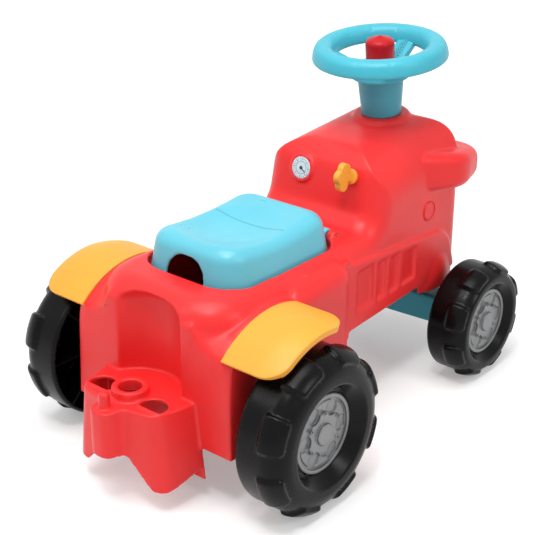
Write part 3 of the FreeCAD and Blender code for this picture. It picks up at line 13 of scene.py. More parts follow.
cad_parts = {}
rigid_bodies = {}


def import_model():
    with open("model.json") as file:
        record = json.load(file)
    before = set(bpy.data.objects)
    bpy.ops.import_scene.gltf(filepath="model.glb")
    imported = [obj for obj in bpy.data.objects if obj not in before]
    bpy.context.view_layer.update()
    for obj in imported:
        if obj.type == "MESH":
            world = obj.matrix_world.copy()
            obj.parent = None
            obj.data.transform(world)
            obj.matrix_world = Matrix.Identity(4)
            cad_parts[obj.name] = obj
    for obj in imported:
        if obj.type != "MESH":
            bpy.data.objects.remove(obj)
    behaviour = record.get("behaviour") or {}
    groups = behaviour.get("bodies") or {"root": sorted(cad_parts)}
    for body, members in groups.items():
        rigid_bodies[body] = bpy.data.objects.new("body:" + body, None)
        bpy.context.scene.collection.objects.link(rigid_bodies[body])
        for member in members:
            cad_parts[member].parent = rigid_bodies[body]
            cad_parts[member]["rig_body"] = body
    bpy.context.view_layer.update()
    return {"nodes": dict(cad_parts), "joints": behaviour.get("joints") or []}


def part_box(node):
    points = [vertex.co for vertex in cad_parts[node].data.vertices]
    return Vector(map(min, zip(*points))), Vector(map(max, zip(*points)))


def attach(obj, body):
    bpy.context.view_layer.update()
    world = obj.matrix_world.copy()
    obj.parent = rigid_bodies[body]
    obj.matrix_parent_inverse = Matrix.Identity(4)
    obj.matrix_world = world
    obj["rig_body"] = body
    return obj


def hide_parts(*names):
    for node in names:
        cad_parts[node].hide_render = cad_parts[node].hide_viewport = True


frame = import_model()
LOG = logging.getLogger("tractor")

RGB = tuple[float, float, float]
Triple = tuple[float, float, float]
Profile = list[tuple[float, float]]
MM = 0.001
MERGE_WITHIN = 1e-6
SHARP_FROM = math.radians(42)
BEVEL_SAMPLES = 6
EDGE_FULL = 0.80
EDGE_NONE = 0.985
NOISE_SPAN = (0.3, 0.7)
NEAR_WHITE = 0.9


class Finish(Enum):
    """Named finishes of the object."""

    RED = "body_red"
    HORN_RED = "horn_red"
    SEAT_BLUE = "seat_blue"
    WHEEL_BLUE = "steering_blue"
    YELLOW = "fender_yellow"
    BLACK = "wheel_black"
    GREY = "cap_grey"
    PALE = "panel_pale"
    LENS = "lamp_lens"
    NATURAL = "natural_plastic"
    STEEL = "bright_steel"
    DIAL = "dial_face"
    # dark print on the dial, also painted shade in the grille slots and the cap sockets
    PRINT_AND_SHADE = "dark_print"
    # darker seat blue: painted shade of the seat's crease
    CREASE_SHADE = "seat_crease"
    SLEEVE = "sleeve_blue"


class NodeKit:
    """Small helper around one material's node tree."""

    def __init__(self, name: str) -> None:
        """Start a material with a Principled shader.

        Args:
            name: Name of the material.
        """
        self.material = bpy.data.materials.new(name)
        self.material.use_nodes = True
        self.tree = self.material.node_tree
        self.shader = self.tree.nodes["Principled BSDF"]
        self.coords = self.tree.nodes.new("ShaderNodeTexCoord").outputs["Object"]

    def link(self, source: bpy.types.NodeSocket, target: bpy.types.NodeSocket) -> None:
        """Join two sockets."""
        self.tree.links.new(source, target)

    def noise(self, scale: float, detail: float = 3.0, rough: float = 0.5) -> bpy.types.NodeSocket:
        """Noise on object coordinates.

        Args:
            scale: Waves per metre.
            detail: Octaves.
            rough: Strength of the finer octaves.

        Returns:
            The noise value.
        """
        node = self.tree.nodes.new("ShaderNodeTexNoise")
        node.inputs["Scale"].default_value = scale
        node.inputs["Detail"].default_value = detail
        node.inputs["Roughness"].default_value = rough
        self.link(self.coords, node.inputs["Vector"])
        return node.outputs["Fac"]

    def ranged(self, value: bpy.types.NodeSocket, low: float, high: float,
               start: float = 0.0, stop: float = 1.0) -> bpy.types.NodeSocket:
        """Value mapped from start..stop to low..high, clamped.

        Args:
            value: Incoming value.
            low: Result at start.
            high: Result at stop.
            start: Lower end of the incoming range.
            stop: Upper end of the incoming range.

        Returns:
            The mapped value.
        """
        node = self.tree.nodes.new("ShaderNodeMapRange")
        node.inputs["From Min"].default_value = start
        node.inputs["From Max"].default_value = stop
        node.inputs["To Min"].default_value = low
        node.inputs["To Max"].default_value = high
        self.link(value, node.inputs["Value"])
        return node.outputs["Result"]

    def blended(self, share: bpy.types.NodeSocket, below: bpy.types.NodeSocket | RGB,
                above: RGB) -> bpy.types.NodeSocket:
        """A colour laid over another by a mask.

        Args:
            share: Mask, the share of the upper colour.
            below: Colour under it, a socket or a constant.
            above: Colour laid over.

        Returns:
            The colour.
        """
        node = self.tree.nodes.new("ShaderNodeMix")
        node.data_type = "RGBA"
        under, over = [socket for socket in node.inputs if socket.type == "RGBA"]
        if isinstance(below, tuple):
            under.default_value = (*below, 1.0)
        else:
            self.link(below, under)
        over.default_value = (*above, 1.0)
        self.link(share, node.inputs["Factor"])
        return [out for out in node.outputs if out.type == "RGBA"][0]

    def scaled(self, value: bpy.types.NodeSocket, factor: float) -> bpy.types.NodeSocket:
        """Value times a number.

        Args:
            value: Incoming value.
            factor: The number.

        Returns:
            The product.
        """
        node = self.tree.nodes.new("ShaderNodeMath")
        node.operation = "MULTIPLY"
        node.inputs[1].default_value = factor
        self.link(value, node.inputs[0])
        return node.outputs[0]

    def rounded(self, radius: float) -> bpy.types.NodeSocket:
        """Normal that runs softly over edges.

        Args:
            radius: Radius of the softened edge in metres.

        Returns:
            The normal.
        """
        node = self.tree.nodes.new("ShaderNodeBevel")
        node.samples = BEVEL_SAMPLES
        node.inputs["Radius"].default_value = radius
        return node.outputs["Normal"]

    def edges(self, radius: float) -> bpy.types.NodeSocket:
        """Mask that is 1 along edges.

        Args:
            radius: Reach from the edge in metres.

        Returns:
            The mask.
        """
        geometry = self.tree.nodes.new("ShaderNodeNewGeometry")
        dot = self.tree.nodes.new("ShaderNodeVectorMath")
        dot.operation = "DOT_PRODUCT"
        self.link(geometry.outputs["Normal"], dot.inputs[0])
        self.link(self.rounded(radius), dot.inputs[1])
        return self.ranged(dot.outputs["Value"], 1.0, 0.0, EDGE_FULL, EDGE_NONE)

    def bump(self, height: bpy.types.NodeSocket, depth: float, strength: float,
             normal: bpy.types.NodeSocket | None = None) -> bpy.types.NodeSocket:
        """Bumped normal.

        Args:
            height: Height value.
            depth: Height of the bumps in metres.
            strength: Strength of the bump.
            normal: Normal under it.

        Returns:
            The normal.
        """
        node = self.tree.nodes.new("ShaderNodeBump")
        node.inputs["Strength"].default_value = strength
        node.inputs["Distance"].default_value = depth
        self.link(height, node.inputs["Height"])
        if normal is not None:
            self.link(normal, node.inputs["Normal"])
        return node.outputs["Normal"]


def shade(colour: RGB, factor: float) -> RGB:
    """Colour made darker or lighter."""
    return tuple(min(1.0, part * factor) for part in colour)


def pale(colour: RGB, share: float) -> RGB:
    """Colour drawn towards white."""
    return tuple(part + (NEAR_WHITE - part) * share for part in colour)


@dataclass(frozen=True)
class MouldedPlastic:
    """Dyed plastic with a fine moulded grain.

    Noise scales are waves per metre, and depths and radii are metres.
    """

    name: str
    colour: RGB
    roughness: float
    glossier: float = 0.05
    duller: float = 0.06
    dull_scale: float = 60.0
    grain: float = 1400.0
    grain_depth: float = 0.00012
    grain_strength: float = 0.22
    mottle: float = 0.06
    mottle_scale: float = 9.0
    wear: float = 0.10
    wear_pale: float = 0.5
    soft: float = 0.0022
    specular: float = 0.45
    metallic: float = 0.0

    def material(self) -> bpy.types.Material:
        """Build the finish.

        Returns:
            The material.
        """
        kit = NodeKit(self.name)
        tone = kit.ranged(kit.noise(self.mottle_scale, 4.0, 0.55), 0.0, 1.0, *NOISE_SPAN)
        base = kit.blended(tone, shade(self.colour, 1 - self.mottle), shade(self.colour, 1 + self.mottle))
        worn = kit.scaled(kit.edges(self.soft), self.wear)
        base = kit.blended(worn, base, pale(self.colour, self.wear_pale))
        kit.link(base, kit.shader.inputs["Base Color"])
        low, high = self.roughness - self.glossier, self.roughness + self.duller
        rough = kit.ranged(kit.noise(self.dull_scale, 4.0, 0.6), low, high, *NOISE_SPAN)
        kit.link(rough, kit.shader.inputs["Roughness"])
        grain = kit.noise(self.grain, 2.0, 0.6)
        normal = kit.bump(grain, self.grain_depth, self.grain_strength, kit.rounded(self.soft))
        kit.link(normal, kit.shader.inputs["Normal"])
        kit.shader.inputs["Specular IOR Level"].default_value = self.specular
        kit.shader.inputs["Metallic"].default_value = self.metallic
        return kit.material


@dataclass(frozen=True)
class PlainSteel:
    """Bright drawn steel with fine lines."""

    name: str
    colour: RGB
    roughness: float
    glossier: float = 0.06
    duller: float = 0.08
    dull_scale: float = 500.0
    stain: float = 0.85
    stain_scale: float = 40.0
    grain: float = 900.0
    grain_depth: float = 0.00006
    grain_strength: float = 0.2

    def material(self) -> bpy.types.Material:
        """Build the finish.

        Returns:
            The material.
        """
        kit = NodeKit(self.name)
        tone = kit.ranged(kit.noise(self.stain_scale, 5.0, 0.6), 0.0, 1.0, *NOISE_SPAN)
        base = kit.blended(tone, shade(self.colour, self.stain), self.colour)
        kit.link(base, kit.shader.inputs["Base Color"])
        kit.shader.inputs["Metallic"].default_value = 1.0
        low, high = self.roughness - self.glossier, self.roughness + self.duller
        kit.link(kit.ranged(kit.noise(self.dull_scale), low, high), kit.shader.inputs["Roughness"])
        normal = kit.bump(kit.noise(self.grain), self.grain_depth, self.grain_strength)
        kit.link(normal, kit.shader.inputs["Normal"])
        return kit.material


FINISHES = {
    Finish.RED: MouldedPlastic("body_red", (0.80, 0.026, 0.027), 0.36, soft=0.0015, specular=0.30),
    Finish.HORN_RED: MouldedPlastic("horn_red", (0.48, 0.002, 0.008), 0.34, specular=0.25),
    Finish.SEAT_BLUE: MouldedPlastic("seat_blue", (0.115, 0.50, 0.62), 0.32, soft=0.0015, specular=0.42),
    Finish.WHEEL_BLUE: MouldedPlastic("steering_blue", (0.050, 0.42, 0.53), 0.38, specular=0.40),
    Finish.SLEEVE: MouldedPlastic("sleeve_blue", (0.055, 0.33, 0.42), 0.40, specular=0.35),
    Finish.YELLOW: MouldedPlastic("fender_yellow", (0.88, 0.37, 0.040), 0.42, specular=0.32),
    Finish.BLACK: MouldedPlastic("wheel_black", (0.0022, 0.0022, 0.0024), 0.25, mottle=0.15, wear=0.006,
                                 soft=0.001, grain_strength=0.10, specular=0.13),
    Finish.GREY: MouldedPlastic("cap_grey", (0.21, 0.214, 0.218), 0.32, metallic=0.6, specular=0.3),
    Finish.PALE: MouldedPlastic("panel_pale", (0.62, 0.64, 0.67), 0.40),
    Finish.LENS: MouldedPlastic("lamp_lens", (0.86, 0.84, 0.74), 0.16, grain_strength=0.05),
    Finish.NATURAL: MouldedPlastic("natural_plastic", (0.52, 0.52, 0.49), 0.5),
    Finish.STEEL: PlainSteel("bright_steel", (0.58, 0.58, 0.59), 0.32),
    Finish.DIAL: MouldedPlastic("dial_face", (0.60, 0.72, 0.78), 0.30, mottle=0.03, grain_strength=0.08),
    # Dark print on the dial, also painted shade in the grille slots and the bolt sockets of the caps.
    Finish.PRINT_AND_SHADE: MouldedPlastic("dark_print", (0.030, 0.034, 0.040), 0.45, wear=0.03, specular=0.25),
    # Darker copy of the seat blue, painted shade in the seat's crease.
    Finish.CREASE_SHADE: MouldedPlastic("seat_crease", (0.04, 0.26, 0.34), 0.45, wear=0.0),
}


class Mould:
    """A mesh in the making."""

    def __init__(self) -> None:
        """Start with an empty mesh."""
        self.shape = bmesh.new()

    def turned(self, profile: Profile, steps: int = 96, closed: bool = True) -> "Mould":
        """Spin a profile about the local Z axis.

        Args:
            profile: Points as (radius, height) in millimetres.
            steps: Steps of the turn.
            closed: Whether the last point joins the first.

        Returns:
            The same mould.
        """
        verts = [self.shape.verts.new((r * MM, 0.0, z * MM)) for r, z in profile]
        loop = verts + verts[:1] if closed else verts
        edges = [self.shape.edges.new(ends) for ends in zip(loop, loop[1:])]
        bmesh.ops.spin(self.shape, geom=verts + edges, cent=(0, 0, 0), axis=(0, 0, 1), dvec=(0, 0, 0),
                       angle=2 * math.pi, steps=steps, use_merge=True, use_duplicate=False)
        return self.closed()

    def bar(self, size: Triple, place: Matrix, soft: float, segments: int = 3) -> "Mould":
        """Add a bar with rounded edges.

        Args:
            size: Length, width and height in millimetres.
            place: Where its middle goes.
            soft: Radius of its edges in millimetres.
            segments: Segments of the rounding.

        Returns:
            The same mould.
        """
        made = bmesh.ops.create_cube(self.shape, size=1.0)["verts"]
        bmesh.ops.scale(self.shape, verts=made, vec=[side * MM for side in size])
        edges = list({edge for vert in made for edge in vert.link_edges})
        softened = bmesh.ops.bevel(self.shape, geom=edges, offset=soft * MM, offset_type="OFFSET",
                                   affect="EDGES", segments=segments, profile=0.5, material=-1)
        verts = {vert for face in softened["faces"] for vert in face.verts}
        bmesh.ops.transform(self.shape, matrix=place, verts=list(verts))
        return self

    def closed(self) -> "Mould":
        """Merge doubles and turn the faces outwards."""
        bmesh.ops.remove_doubles(self.shape, verts=self.shape.verts[:], dist=MERGE_WITHIN)
        bmesh.ops.recalc_face_normals(self.shape, faces=self.shape.faces[:])
        return self

    def placed(self, place: Matrix) -> "Mould":
        """Move everything made so far."""
        bmesh.ops.transform(self.shape, matrix=place, verts=self.shape.verts[:])
        return self

    def take(self, other: "Mould") -> None:
        """Add another mould's mesh, which is used up.

        Args:
            other: The other mould.
        """
        mesh = bpy.data.meshes.new("taken")
        other.shape.to_mesh(mesh)
        other.shape.free()
        self.shape.from_mesh(mesh)
        bpy.data.meshes.remove(mesh)

    def cast(self, name: str) -> bpy.types.Object:
        """Make the object.

        Args:
            name: Name of the piece.

        Returns:
            The object, smooth but for its sharp edges.
        """
        self.closed()
        mesh = bpy.data.meshes.new(name)
        for face in self.shape.faces:
            face.smooth = True
        for edge in self.shape.edges:
            edge.smooth = len(edge.link_faces) == 2 and edge.calc_face_angle(0.0) < SHARP_FROM
        self.shape.to_mesh(mesh)
        self.shape.free()
        piece = bpy.data.objects.new(name, mesh)
        bpy.context.scene.collection.objects.link(piece)
        return piece


@dataclass(frozen=True)
class Softness:
    """How a softened copy of a node is meshed.

    The cell is the spacing of its even mesh in millimetres, the rounds are of smoothing, and the faces
    are the most triangles that it keeps.
    """

    cell: float
    rounds: int
    faces: int


def evaluated(piece: bpy.types.Object) -> bpy.types.Object:
    """A piece with its modifiers applied."""
    return piece.evaluated_get(bpy.context.evaluated_depsgraph_get())


@dataclass
class SubAssembly:
    """A group of nodes and pieces that belong together."""

    finishes: dict[Finish, bpy.types.Material]
    nodes: dict[Finish, list[str]] = field(default_factory=dict)
    patch_soft: float = 1.0

    def build(self) -> None:
        """Make the group's own pieces."""
        raise NotImplementedError

    def dress(self) -> None:
        """Put the finishes on the carried-over nodes."""
        for finish, names in self.nodes.items():
            for name in names:
                node = frame["nodes"][name]
                node.data.materials.clear()
                node.data.materials.append(self.finishes[finish])
                LOG.info("%s: %s", name, finish.value)

    def add(self, mould: Mould, name: str, body: str, finish: Finish, slot: str) -> bpy.types.Object:
        """Cast a new piece and let it ride.

        Args:
            mould: Its mesh in the making.
            name: Name of the piece.
            body: Body that it moves with.
            finish: Its finish.
            slot: Material slot of the record that it stands for; not used.

        Returns:
            The piece.
        """
        piece = mould.cast(name)
        piece.data.materials.append(self.finishes[finish])
        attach(piece, body)
        LOG.info("%s on %s: %d faces", name, body, len(piece.data.polygons))
        return piece

    def soften(self, node: str, finish: Finish, slot: str, softness: Softness,
               patches: tuple[tuple[Triple, Triple], ...] = ()) -> bpy.types.Object:
        """Stand a copy with softly rounded edges in for a node.

        Args:
            node: Name of the node.
            finish: Finish of the copy.
            slot: Material slot of the record that it stands for; not used.
            softness: How it is meshed.
            patches: Size and middle of bars that are run into it, in millimetres.

        Returns:
            The piece.
        """
        source = frame["nodes"][node]
        mould = Mould()
        mould.shape.from_mesh(source.data)
        mould.closed()
        for size, middle in patches:
            mould.bar(size, Matrix.Translation(Vector(middle) * MM), self.patch_soft)
        piece = mould.cast(node + "_soft")
        rough = piece.data
        even = piece.modifiers.new("even", "REMESH")
        even.mode = "VOXEL"
        even.voxel_size = softness.cell * MM
        even.use_smooth_shade = True
        smooth = piece.modifiers.new("smooth", "SMOOTH")
        smooth.factor = 0.5
        smooth.iterations = softness.rounds
        triangles = 2 * len(evaluated(piece).data.polygons)
        fewer = piece.modifiers.new("fewer", "DECIMATE")
        fewer.ratio = min(1.0, softness.faces / triangles)
        mesh = bpy.data.meshes.new_from_object(evaluated(piece))
        piece.modifiers.clear()
        piece.data = mesh
        bpy.data.meshes.remove(rough)
        mesh.materials.clear()
        mesh.materials.append(self.finishes[finish])
        for polygon in mesh.polygons:
            polygon.use_smooth = True
        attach(piece, source["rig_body"])
        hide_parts(node)
        LOG.info("%s for %s: %d faces", piece.name, node, len(mesh.polygons))
        return piece


def pair(name: str) -> list[str]:
    """Names of a left and right pair of nodes."""
    return [name + "_left", name + "_right"]


def joint(name: str) -> tuple[Vector, Vector]:
    """Place and axis of a joint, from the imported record.

    Args:
        name: Name of the joint.

    Returns:
        A point of the axis in metres and the axis as a unit vector.
    """
    found = [item for item in frame["joints"] if item["name"] == name][0]
    return Vector(found["pos_m"]), Vector(found["axis"]).normalized()


def upright_on(point: Vector, axis: Vector) -> Matrix:
    """Placement whose local Z runs along an axis in the XZ plane, with Y kept.

    Args:
        point: Where the origin goes.
        axis: Direction of the local Z axis.

    Returns:
        The placement.
    """
    side = Vector((0, 1, 0))
    ahead = side.cross(axis)
    turn = Matrix((ahead, side, axis)).transposed().to_4x4()
    return Matrix.Translation(point) @ turn


@dataclass
class Body(SubAssembly):
    """The moulded body with its fenders and the fixed hardware.

    A corner is a middle and a reach, a web a size and a middle, all in millimetres and on the left.
    """

    nodes: dict[Finish, list[str]] = field(default_factory=lambda: {
        Finish.RED: pair("side_plug"),
        Finish.YELLOW: pair("fender"),
        Finish.NATURAL: ["bearing"] + pair("spacer"),
        Finish.STEEL: ["hinge_pin", "bearing_screws", "rear_axle"] + pair("rear_nut"),
    })
    plug_r: float = 10.0
    plug_rim: Profile = field(default_factory=lambda: [
        (0.3, -1.5), (0.3, 0.2), (0.7, 0.6), (1.6, 0.5), (2.1, -1.5),
    ])
    side_lean: float = 0.033
    softness: Softness = Softness(1.25, 15, 190000)
    corners: list[tuple[Triple, float]] = field(default_factory=lambda: [
        ((-84.0, 98.0, 196.0), 24.0), ((-206.0, 88.0, 180.0), 26.0), ((-200.0, 98.0, 160.0), 20.0),
    ])
    melts: int = 40
    webs: list[tuple[Triple, Triple]] = field(default_factory=lambda: [
        ((18.0, 6.4, 94.0), (4.5, 85.0, 149.0)), ((5.0, 12.0, 101.0), (-1.8, 88.0, 141.5)),
    ])

    def melt(self, piece: bpy.types.Object) -> None:
        """Run the corners where arch, deck and tail meet into each other.

        Args:
            piece: The softened body.
        """
        shape = bmesh.new()
        shape.from_mesh(piece.data)
        spots = [(Vector((x, side * y, z)) * MM, reach * MM)
                 for (x, y, z), reach in self.corners for side in (-1, 1)]
        verts = [vert for vert in shape.verts
                 if any((vert.co - spot).length < reach for spot, reach in spots)]
        for _ in range(self.melts):
            bmesh.ops.smooth_vert(shape, verts=verts, factor=0.5,
                                  use_axis_x=True, use_axis_y=True, use_axis_z=True)
        shape.to_mesh(piece.data)
        shape.free()

    def build(self) -> None:
        """Softened body and raised rims round the two side plugs."""
        webs = tuple((size, (x, side * y, z)) for size, (x, y, z) in self.webs for side in (-1, 1))
        soft = self.soften("body_shell", Finish.RED, "red_plastic", self.softness, webs)
        self.melt(soft)
        for name in pair("side_plug"):
            low, high = (Vector(corner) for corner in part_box(name))
            middle = (low + high) / 2
            left = middle.y > 0
            face = high.y if left else low.y
            out = Vector((self.side_lean, 1.0 if left else -1.0, 0.0)).normalized()
            ring = Mould().turned([(self.plug_r + r, z) for r, z in self.plug_rim])
            turn = out.to_track_quat("Z", "X").to_matrix().to_4x4()
            ring.placed(Matrix.Translation((middle.x, face, middle.z)) @ turn)
            self.add(ring, name + "_rim", "chassis", Finish.RED, "red_plastic")


@dataclass
class Seat(SubAssembly):
    """The lid seat, with a shallow pan and a fine crease drawn as a darker strip of painted shade, in
    millimetres.
    """

    softness: Softness = Softness(1.4, 16, 150000)
    pan_at: tuple[float, float] = (-78.0, 0.0)
    pan_half: tuple[float, float] = (64.0, 56.0)
    pan_deep: float = 6.0
    pan_low: float = 228.0
    crease_at: float = -50.0
    crease_half: float = 47.0
    crease_w: float = 0.9
    crease_rise: float = 0.12

    def dish(self, piece: bpy.types.Object) -> None:
        """Press the shallow pan into the top.

        Args:
            piece: The softened seat.
        """
        shape = bmesh.new()
        shape.from_mesh(piece.data)
        for vert in shape.verts:
            x = (vert.co.x / MM - self.pan_at[0]) / self.pan_half[0]
            y = (vert.co.y / MM - self.pan_at[1]) / self.pan_half[1]
            share = max(0.0, 1.0 - x * x - y * y)
            if vert.co.z > self.pan_low * MM:
                vert.co.z -= self.pan_deep * MM * share * share * (3 - 2 * share)
        shape.to_mesh(piece.data)
        shape.free()

    def build(self) -> None:
        """Softened seat with its pan, and a darker strip cut from its surface along the crease as painted
        shade.
        """
        soft = self.soften("seat", Finish.SEAT_BLUE, "blue_plastic", self.softness)
        self.dish(soft)
        mould = Mould()
        mould.shape.from_mesh(soft.data)
        cuts = [((self.crease_at + side * self.crease_w / 2, 0, 0), (side, 0, 0)) for side in (-1, 1)]
        cuts += [((0, side * self.crease_half, 0), (0, side, 0)) for side in (-1, 1)]
        cuts += [((0, 0, self.pan_low), (0, 0, -1))]
        for point, away in cuts:
            geom = mould.shape.verts[:] + mould.shape.edges[:] + mould.shape.faces[:]
            bmesh.ops.bisect_plane(mould.shape, geom=geom, plane_co=Vector(point) * MM, plane_no=away,
                                   clear_outer=True)
        under = [face for face in mould.shape.faces if face.normal.z < 0.0]
        bmesh.ops.delete(mould.shape, geom=under, context="FACES")
        bmesh.ops.translate(mould.shape, vec=(0, 0, self.crease_rise * MM), verts=mould.shape.verts[:])
        # The strip is a darker blue laid on the surface: painted shade of the crease.
        self.add(mould, "seat_crease", "seat", Finish.CREASE_SHADE, "blue_plastic")


@dataclass
class Steering(SubAssembly):
    """Dished steering wheel, column, horn and the steered cross beam.

    Outlines are radius and height along the column in millimetres, and turns are degrees.
    """

    nodes: dict[Finish, list[str]] = field(default_factory=lambda: {
        Finish.SLEEVE: ["column_sleeve"],
        Finish.WHEEL_BLUE: ["axle_carrier"],
        Finish.STEEL: ["steering_shaft", "front_axle"] + pair("front_nut"),
    })
    section: Profile = field(default_factory=lambda: [
        (77.4, 300.5), (76.6, 307.0), (73.6, 315.2), (67.0, 318.0), (59.0, 317.8),
        (54.0, 314.4), (51.4, 307.0), (50.6, 300.8), (53.0, 299.0), (75.0, 299.0),
    ])
    rim_steps: int = 288
    notches: int = 12
    notch_half: float = 2.2
    notch_deep: float = 0.75
    notch_bands: Profile = field(default_factory=lambda: [(53.5, 59.5), (70.0, 75.5)])
    notch_low: float = 310.0
    hub: Profile = field(default_factory=lambda: [
        (17.2, 280.0), (33.0, 278.0), (34.6, 279.4), (34.8, 284.0),
        (33.0, 287.0), (24.0, 292.5), (19.5, 295.0), (17.2, 295.2),
    ])
    horn: Profile = field(default_factory=lambda: [
        (0.0, 293.6), (16.3, 293.6), (16.5, 314.0), (16.3, 316.8), (15.4, 319.0), (13.4, 320.6),
        (9.0, 322.0), (5.0, 323.2), (2.4, 324.4), (1.0, 324.9), (0.0, 325.0),
    ])
    spoke_in: tuple[float, float] = (25.0, 284.5)
    spoke_out: tuple[float, float] = (56.0, 302.5)
    spoke_w: float = 23.0
    spoke_t: float = 8.0
    spoke_soft: float = 2.6
    spoke_turns: Triple = (0.0, 120.0, 240.0)
    hatch_bars: int = 7
    hatch_steps: float = 8.5
    hatch_turn: float = 38.0
    hatch_share: float = 0.36
    hatch_w: float = 1.1
    hatch_rise: float = 0.8
    hatch_soft: float = 0.35

    def column(self) -> Matrix:
        """Placement of the column, its foot on the front axle."""
        return upright_on(*joint("steering_turn"))

    def rounded(self, corners: Profile, rounds: int = 3) -> Profile:
        """Closed outline with its corners cut round.

        Args:
            corners: Corners of the outline.
            rounds: Rounds of cutting.

        Returns:
            The rounded outline.
        """
        for _ in range(rounds):
            cut = []
            for (r0, z0), (r1, z1) in zip(corners, corners[1:] + corners[:1]):
                cut += [(0.75 * r0 + 0.25 * r1, 0.75 * z0 + 0.25 * z1),
                        (0.25 * r0 + 0.75 * r1, 0.25 * z0 + 0.75 * z1)]
            corners = cut
        return corners

    def rim(self) -> Mould:
        """Rim with small notches along both edges of its crown."""
        mould = Mould().turned(self.rounded(self.section), self.rim_steps)
        pitch = 2 * math.pi / self.notches
        for vert in mould.shape.verts:
            away = math.hypot(vert.co.x, vert.co.y) / MM
            turn = math.atan2(vert.co.y, vert.co.x) % pitch - pitch / 2
            near = 1.0 - abs(turn * away) / self.notch_half
            inside = any(low < away < high for low, high in self.notch_bands)
            if near > 0 and inside and vert.co.z > self.notch_low * MM:
                vert.co.z -= self.notch_deep * MM * math.sin(near * math.pi / 2)
        return mould

    def spoke_place(self, turn: float, lift: float) -> Matrix:
        """Placement on the middle of a slanted spoke.

        Args:
            turn: Direction of the spoke in degrees from straight ahead.
            lift: Height above the spoke's middle plane in millimetres.

        Returns:
            The placement, its local X along the spoke.
        """
        (r0, z0), (r1, z1) = self.spoke_in, self.spoke_out
        slant = math.atan2(z1 - z0, r1 - r0)
        middle = Matrix.Translation(((r0 + r1) / 2 * MM, 0, (z0 + z1) / 2 * MM))
        tilt = Matrix.Rotation(-slant, 4, "Y") @ Matrix.Translation((0, 0, lift * MM))
        return self.column() @ Matrix.Rotation(math.radians(turn), 4, "Z") @ middle @ tilt

    def build(self) -> None:
        """Rim, hub, slanted spokes, hatch and horn."""
        column = self.column()
        blue = ("steering", Finish.WHEEL_BLUE, "blue_plastic")
        length = math.dist(self.spoke_in, self.spoke_out)
        rim = self.add(self.rim().placed(column), "steering_rim", *blue)
        hub = self.add(Mould().turned(self.hub).placed(column), "steering_hub", *blue)
        spokes = Mould()
        for turn in self.spoke_turns:
            spokes.bar((length, self.spoke_w, self.spoke_t), self.spoke_place(turn, 0.0), self.spoke_soft, 5)
        spoke = self.add(spokes, "steering_spokes", *blue)
        for piece in (rim, hub, spoke):
            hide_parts("steering_wheel")
        hatch = Mould()
        for side in (-1, 1):
            for i in range(self.hatch_bars):
                x = (i - (self.hatch_bars - 1) / 2) * length / self.hatch_steps
                place = self.spoke_place(0.0, self.spoke_t / 2) @ Matrix.Translation((x * MM, 0, 0))
                place = place @ Matrix.Rotation(math.radians(side * self.hatch_turn), 4, "Z")
                size = (length * self.hatch_share, self.hatch_w, 2 * self.hatch_rise)
                hatch.bar(size, place, self.hatch_soft, 2)
        self.add(hatch, "spoke_hatch", *blue)
        drum = Mould().turned(self.horn, closed=False).placed(column)
        horn = self.add(drum, "horn_drum", "horn", Finish.HORN_RED, "dark_red_plastic")
        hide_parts("horn_button")


@dataclass
class Dash(SubAssembly):
    """Dial and key on the dash, in millimetres from the middle of the dial."""

    nodes: dict[Finish, list[str]] = field(default_factory=lambda: {
        Finish.DIAL: ["dash_dial"],
        Finish.YELLOW: ["ignition_key"],
        Finish.STEEL: ["key_clip"],
    })
    dial_r: float = 12.5
    ticks: int = 24
    tick_long: Triple = (2.6, 0.55, 0.3)
    tick_short: Triple = (1.5, 0.35, 0.3)
    tick_every: int = 3
    tick_inset: float = 1.4
    tick_rise: float = 1.0
    tick_soft: float = 0.1
    ring: Profile = field(default_factory=lambda: [(7.0, 0.9), (7.0, 1.1), (7.35, 1.1), (7.35, 0.9)])
    needle: Triple = (8.2, 0.9, 0.4)
    needle_at: Triple = (3.6, 0.0, 1.35)
    needle_turn: float = -2.2
    needle_soft: float = 0.15
    hub: Profile = field(default_factory=lambda: [
        (0.0, 0.9), (1.9, 0.9), (1.9, 1.6), (1.3, 2.1), (0.0, 2.3),
    ])

    def dial_place(self) -> Matrix:
        """Placement of the dial's face, with local Z out of the dash."""
        axis = joint("key_turn")[1]
        low, high = (Vector(corner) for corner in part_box("dash_dial"))
        return upright_on((low + high) / 2, axis)

    def build(self) -> None:
        """Ticks, ring, needle and hub of the dial."""
        dial = self.dial_place()
        printed = ("chassis", Finish.PRINT_AND_SHADE, "pale_plastic")
        ticks = Mould()
        for i in range(self.ticks):
            size = self.tick_short if i % self.tick_every else self.tick_long
            away = self.dial_r - self.tick_inset - size[0] / 2
            turn = Matrix.Rotation(2 * math.pi * i / self.ticks, 4, "Z")
            place = dial @ turn @ Matrix.Translation((away * MM, 0, self.tick_rise * MM))
            ticks.bar(size, place, self.tick_soft, 1)
        self.add(ticks, "dial_ticks", *printed)
        self.add(Mould().turned(self.ring).placed(dial), "dial_ring", *printed)
        turn = Matrix.Rotation(self.needle_turn, 4, "Z")
        place = dial @ turn @ Matrix.Translation(Vector(self.needle_at) * MM)
        self.add(Mould().bar(self.needle, place, self.needle_soft, 1), "dial_needle", *printed)
        self.add(Mould().turned(self.hub, 48, False).placed(dial), "dial_hub", *printed)


